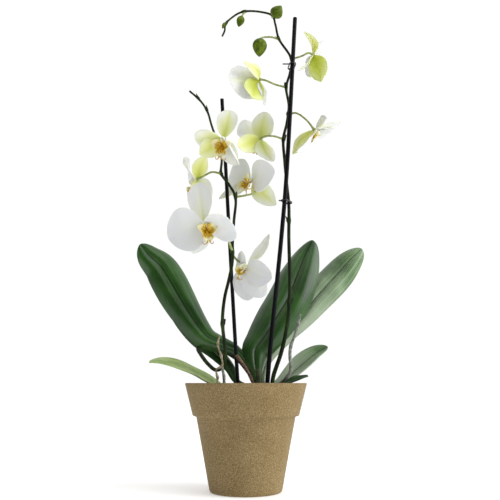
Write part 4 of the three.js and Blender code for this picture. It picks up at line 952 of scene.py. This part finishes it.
class BloomFrame:
    """A bloom's own directions: forward, up towards the upper sepal, and right. Local points are in millimetres."""

    def __init__(self, bloom):
        self.centre = Vector(bloom["centre"]) / 1000
        self.forward = Vector(bloom["faces"]).normalized()
        up = Vector(bloom["sepals"][0]["reach"]).normalized()
        self.up = (up - self.forward * up.dot(self.forward)).normalized()
        self.right = self.up.cross(self.forward)

    def place(self, x, y, z):
        """The point x to the right, y up and z forward of the bloom's middle."""
        return self.centre + (self.right * x + self.up * y + self.forward * z) / 1000


def egg(bm, centre, half_width, half_length, way, material=0):
    """A rounded knob, longest along way. Returns its vertices."""
    turn = way.to_track_quat("Z", "Y").to_matrix().to_4x4()
    size = Matrix.Diagonal((half_width, half_width, half_length, 1))
    made = bmesh.ops.create_uvsphere(bm, u_segments=20, v_segments=14, radius=1,
                                     matrix=Matrix.Translation(centre) @ turn @ size)["verts"]
    for face in linked(made, "link_faces"):
        face.material_index = material
    return made


for number, bloom in enumerate(BLOOMS, 1):
    bm = bmesh.new()
    draw = random.Random(number)
    here = BloomFrame(bloom)
    for kind, parts in ((SEPAL, bloom["sepals"]), (PETAL, bloom["petals"])):
        for part in parts:
            tepal(bm, here.centre, {**kind, "looks": bloom["faces"], **part}, draw)
    drawn_tube(bm, Route([here.place(*point) * 1000 for point in COLUMN]),
               lambda share: COLUMN_RADIUS * (0.78 + 0.22 * math.sin(math.pi * share)), steps=16, sides=16,
               material=COLUMN_SKIN)
    egg(bm, here.place(*ANTHER), 0.0023, 0.0021, here.forward, COLUMN_SKIN)
    finish_piece(f"flower_{number}", bm, [*tissue.values(), column_wax], "petal", f"bloom_{number}")

# ---- Lips ----
# The lip is the small waxy landing place of each bloom, hinged under the column. It has two side lobes
# that stand up, an arrow-shaped middle lobe that ends in two curled tendrils, and a callus between them.

# A lip's lobes are blades like the petals. Its points are in the bloom's own directions, in millimetres, for the
# right side; the left side mirrors them.
LOBE = {"breadth": 0.0105, "widest": 0.5, "blunt": 0.6, "least": 0.0012, "layer": 0, "skins": (0, 0)}
SIDE_ROOT = (1.5, -5.5, 5)
SIDE_TIP = (10.5, 1.5, 9.5)
MIDDLE_ROOT = Vector((0, -5.5, 5.5))
MIDDLE_TIP = (0, -15, 13.5)
TENDRIL = ((0.8, -13, 13), (2.6, -16, 13.5), (5, -16.5, 11), (5.6, -14.5, 9.5))
CALLUS = (0, -5.2, 5.5)
CALLUS_CLEFT = 0.0006

# Lip tissue is firm and waxy: golden with red-brown bars at its foot, and pale cream towards the tips.
lip_wax, tree = new_material("waxy lip")
strap = add(tree, "ShaderNodeUVMap", {"uv_map": "UVMap"}).outputs["UV"]
place = add(tree, "ShaderNodeTexCoord").outputs["Object"]
parts = add(tree, "ShaderNodeSeparateXYZ", links={"Vector": strap})
tint = add(tree, "ShaderNodeTexNoise", {"Scale": 260, "Detail": 2}, {"Vector": place})
shaken = add(tree, "ShaderNodeMath", {"operation": "MULTIPLY_ADD", 1: 0.7},
             {0: tint.outputs["Fac"], 2: parts.outputs["Y"]})
gold = add(tree, "ShaderNodeValToRGB", links={"Fac": shaken.outputs[0]},
           stops=[(0.3, "b0830f"), (0.6, "dab01e"), (0.9, "ecd457"), (1.0, "f1eabb")])
stripes = add(tree, "ShaderNodeMapping", {"Scale": (9, 1.5, 1)}, {"Vector": strap})
bars = add(tree, "ShaderNodeTexNoise", {"Scale": 1, "Detail": 2}, {"Vector": stripes.outputs["Vector"]})
spots = add(tree, "ShaderNodeMapRange", {"From Min": 0.52, "From Max": 0.6, "To Min": 0.0, "To Max": 0.9},
            {"Value": bars.outputs["Fac"]})
low = add(tree, "ShaderNodeMapRange", {"From Min": 0.4, "From Max": 0.8, "To Min": 1.0, "To Max": 0.0},
          {"Value": parts.outputs["Y"]})
where = add(tree, "ShaderNodeMath", {"operation": "MULTIPLY"},
            {0: spots.outputs["Result"], 1: low.outputs["Result"]})
marked = add(tree, "ShaderNodeMix", {"data_type": "RGBA", 7: linear("6b3208")},
             {0: where.outputs[0], 6: gold.outputs["Color"]})
shader = add(tree, "ShaderNodeBsdfPrincipled", {"Roughness": 0.4, "IOR": 1.4, "Subsurface Weight": 0.2,
                                                "Subsurface Scale": 0.001},
             {"Base Color": marked.outputs[2]})
add(tree, "ShaderNodeOutputMaterial", links={"Surface": shader.outputs["BSDF"]})

for number, bloom in enumerate(BLOOMS, 1):
    bm = bmesh.new()
    draw = random.Random(100 + number)
    here = BloomFrame(bloom)
    hang = Vector(bloom["lip"]) / 1000
    lip_size = bloom.get("lip_size", 1)

    def lobe(root, tip, looks, cup):
        """One lobe of the lip, from its root to its tip."""
        reach = (here.place(*tip) - here.place(*root)) * 1000 * lip_size
        shape = {**LOBE, "reach": reach, "looks": looks, "width": lip_size, "cup": cup}
        tepal(bm, here.place(*root) + hang, shape, draw)

    for side in (-1, 1):
        root, tip, *curl = [(side * x, y, z) for x, y, z in (SIDE_ROOT, SIDE_TIP, *TENDRIL)]
        lobe(root, tip, here.right * -side + here.forward * 0.7, 0.5)
        curl = [MIDDLE_ROOT + (Vector(point) - MIDDLE_ROOT) * lip_size for point in curl]
        drawn_tube(bm, Route([(here.place(*point) + hang) * 1000 for point in curl]),
                   lambda share: 0.0006 - 0.0003 * share, steps=16, sides=8)
    lobe(MIDDLE_ROOT, MIDDLE_TIP, here.up + here.forward * 0.8, 0.25)
    knob = egg(bm, here.place(*CALLUS) + hang, 0.0024, 0.0032, here.forward)
    for vertex in knob:
        off = vertex.co - here.place(*CALLUS) - hang
        dip = math.exp(-(off.dot(here.right) / CALLUS_CLEFT) ** 2) * max(off.dot(here.up), 0)
        vertex.co -= here.up * dip * 0.35
    claw = [here.place(0, -1.5, 3.5) * 1000, (here.place(0, -5, 5.5) + hang) * 1000]
    drawn_tube(bm, Route(claw), lambda share: 0.0013, steps=6, sides=12)
    finish_piece(f"lip_{number}", bm, [lip_wax], "lip", f"bloom_{number}_lip")

# ---- Clips ----
# Two black plastic clips that hold the second spike to its stake: a flat band round both, closed by a
# short tab at the side.

# Each clip's height above the floor and the length of its tab, in millimetres.
CLIPS = {"clip_lower": (306, 3), "clip_upper": (470, 8)}
CLIP_HEIGHT = 0.0018
CLIP_WALL = 0.0009
CLIP_INNER_RADIUS = 0.0031
TAB_HEIGHT = CLIP_HEIGHT * 0.8
TAB_BEVEL = 0.0003

# Moulded plastic is smooth, with a faint fine grain from the mould.
clip_plastic = mottled(
    "moulded black plastic", {"Scale": 1500, "Detail": 2}, [(0.3, "0a0910"), (0.7, "15141c")],
    {"Roughness": 0.4, "IOR": 1.5}, relief={"Strength": 0.2, "Distance": 0.0002},
)


def point_at_height(points, height):
    """The point of a route at a height in millimetres."""
    route = Route(points)
    steps = 2 * SEARCH_STEPS
    return min((route.at(step / steps) for step in range(steps + 1)),
               key=lambda point: abs(point.z - height / 1000))


for name, (height, tab) in CLIPS.items():
    middle = height + CLIP_HEIGHT * 500
    post = point_at_height(STAKES["stake_2"][1], middle)
    stem = point_at_height(SPIKES["spike_2"]["route"], middle)
    apart = math.hypot(stem.x - post.x, stem.y - post.y)
    bm = bmesh.new()
    ring = bmesh.ops.create_circle(bm, segments=48, radius=CLIP_INNER_RADIUS + CLIP_WALL)["verts"]
    bmesh.ops.translate(bm, vec=(apart, 0, 0), verts=[vertex for vertex in ring if vertex.co.x > 1e-6])
    edges = linked(ring, "link_edges")
    grown = bmesh.ops.extrude_edge_only(bm, edges=edges)["geom"]
    raised = [part for part in grown if isinstance(part, bmesh.types.BMVert)]
    bmesh.ops.translate(bm, vec=(0, 0, CLIP_HEIGHT), verts=raised)
    bmesh.ops.recalc_face_normals(bm, faces=bm.faces[:])
    bmesh.ops.solidify(bm, geom=bm.faces[:], thickness=CLIP_WALL)
    turn = Matrix.Rotation(math.atan2(stem.y - post.y, stem.x - post.x), 4, "Z")
    bmesh.ops.transform(bm, matrix=turn, verts=bm.verts[:])
    length = tab / 1000
    size = Matrix.Diagonal((length, CLIP_WALL, TAB_HEIGHT, 1))
    spot = Matrix.Translation((-CLIP_INNER_RADIUS - (length + CLIP_WALL) / 2, 0, CLIP_HEIGHT / 2))
    bar = bmesh.ops.create_cube(bm, size=1, matrix=spot @ size)["verts"]
    edges = linked(bar, "link_edges")
    bmesh.ops.bevel(bm, geom=edges, offset=TAB_BEVEL, segments=2, profile=0.5, affect="EDGES", material=-1)
    bmesh.ops.translate(bm, vec=(post.x, post.y, height / 1000), verts=bm.verts[:])
    finish_piece(name.replace("clip", "tie_clip"), bm, [clip_plastic], "clip", name)

# ---- Floor, light and camera ----
# A plain white paper floor under soft studio light from the upper right, seen from the height of the
# pot's rim through a lens that matches the photograph's.

FLOOR_HALF_SIZE = 4
PLANT_MIDDLE = Vector((0, 0, 0.28))
CAMERA_PLACE = (0.0043, -0.720, 0.110)
CAMERA_TILT = 11.353
CAMERA_LENS = 47.69

# Studio paper is matt and white, and glows a little so that it stays white where it falls into shade.
paper = mottled(
    "white studio paper", {"Scale": 30, "Detail": 2}, [(0.3, "fafafa"), (0.7, "fdfdfd")],
    {"Roughness": 0.9, "Emission Color": (1, 1, 1, 1), "Emission Strength": 0.3},
)

bm = bmesh.new()
bmesh.ops.create_grid(bm, x_segments=1, y_segments=1, size=FLOOR_HALF_SIZE)
mesh = bpy.data.meshes.new("floor")
bm.to_mesh(mesh)
bm.free()
mesh.materials.append(paper)
floor = bpy.data.objects.new("floor", mesh)
bpy.context.scene.collection.objects.link(floor)
floor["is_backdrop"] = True

world = bpy.data.worlds.new("studio")
bpy.context.scene.world = world
world.use_nodes = True
tree = world.node_tree
tree.nodes.clear()
# The room is bright above, behind and to the right, and dark in front. The camera itself sees plain white.
way = add(tree, "ShaderNodeVectorMath", {"operation": "DOT_PRODUCT", 1: (0.4, 0.8, 0.8)},
          {0: add(tree, "ShaderNodeTexCoord").outputs["Generated"]})
room = add(tree, "ShaderNodeMapRange", {"From Min": -0.1, "From Max": 0.4, "To Min": 0.08, "To Max": 0.78},
           {"Value": way.outputs["Value"]})
seen = add(tree, "ShaderNodeLightPath").outputs["Is Camera Ray"]
strength = add(tree, "ShaderNodeMix", {3: 1.02}, {0: seen, 2: room.outputs["Result"]})
sky = add(tree, "ShaderNodeBackground", {"Color": (1, 1, 1, 1)}, {"Strength": strength.outputs[0]})
add(tree, "ShaderNodeOutputWorld", links={"Surface": sky.outputs["Background"]})

# The key is broad and comes from the right, a little in front, and a weak panel lights the plant from above. Each
# lamp has its name, kind, place, size (an angle or the panel's side in metres) and power.
for name, kind, spot, size, power in (
    ("key", "SUN", (1.1, -0.35, 0.8), math.radians(45), 1.9),
    ("top", "AREA", (-0.1, -0.45, 1.5), 1.2, 5),
):
    lamp = bpy.data.lights.new(name, kind)
    if kind == "SUN":
        lamp.angle = size
    else:
        lamp.size = size
    lamp.energy = power
    holder = bpy.data.objects.new(name, lamp)
    holder.location = spot
    holder.rotation_euler = (PLANT_MIDDLE - Vector(spot)).to_track_quat("-Z", "Y").to_euler()
    bpy.context.scene.collection.objects.link(holder)

camera = bpy.data.objects.new("camera", bpy.data.cameras.new("camera"))
camera.data.sensor_width = 36
camera.data.lens = CAMERA_LENS
camera.location = CAMERA_PLACE
camera.rotation_euler = (math.radians(90 + CAMERA_TILT), 0, 0)
bpy.context.scene.collection.objects.link(camera)
bpy.context.scene.camera = camera
bpy.context.scene.view_settings.view_transform = "Standard"

low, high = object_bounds()
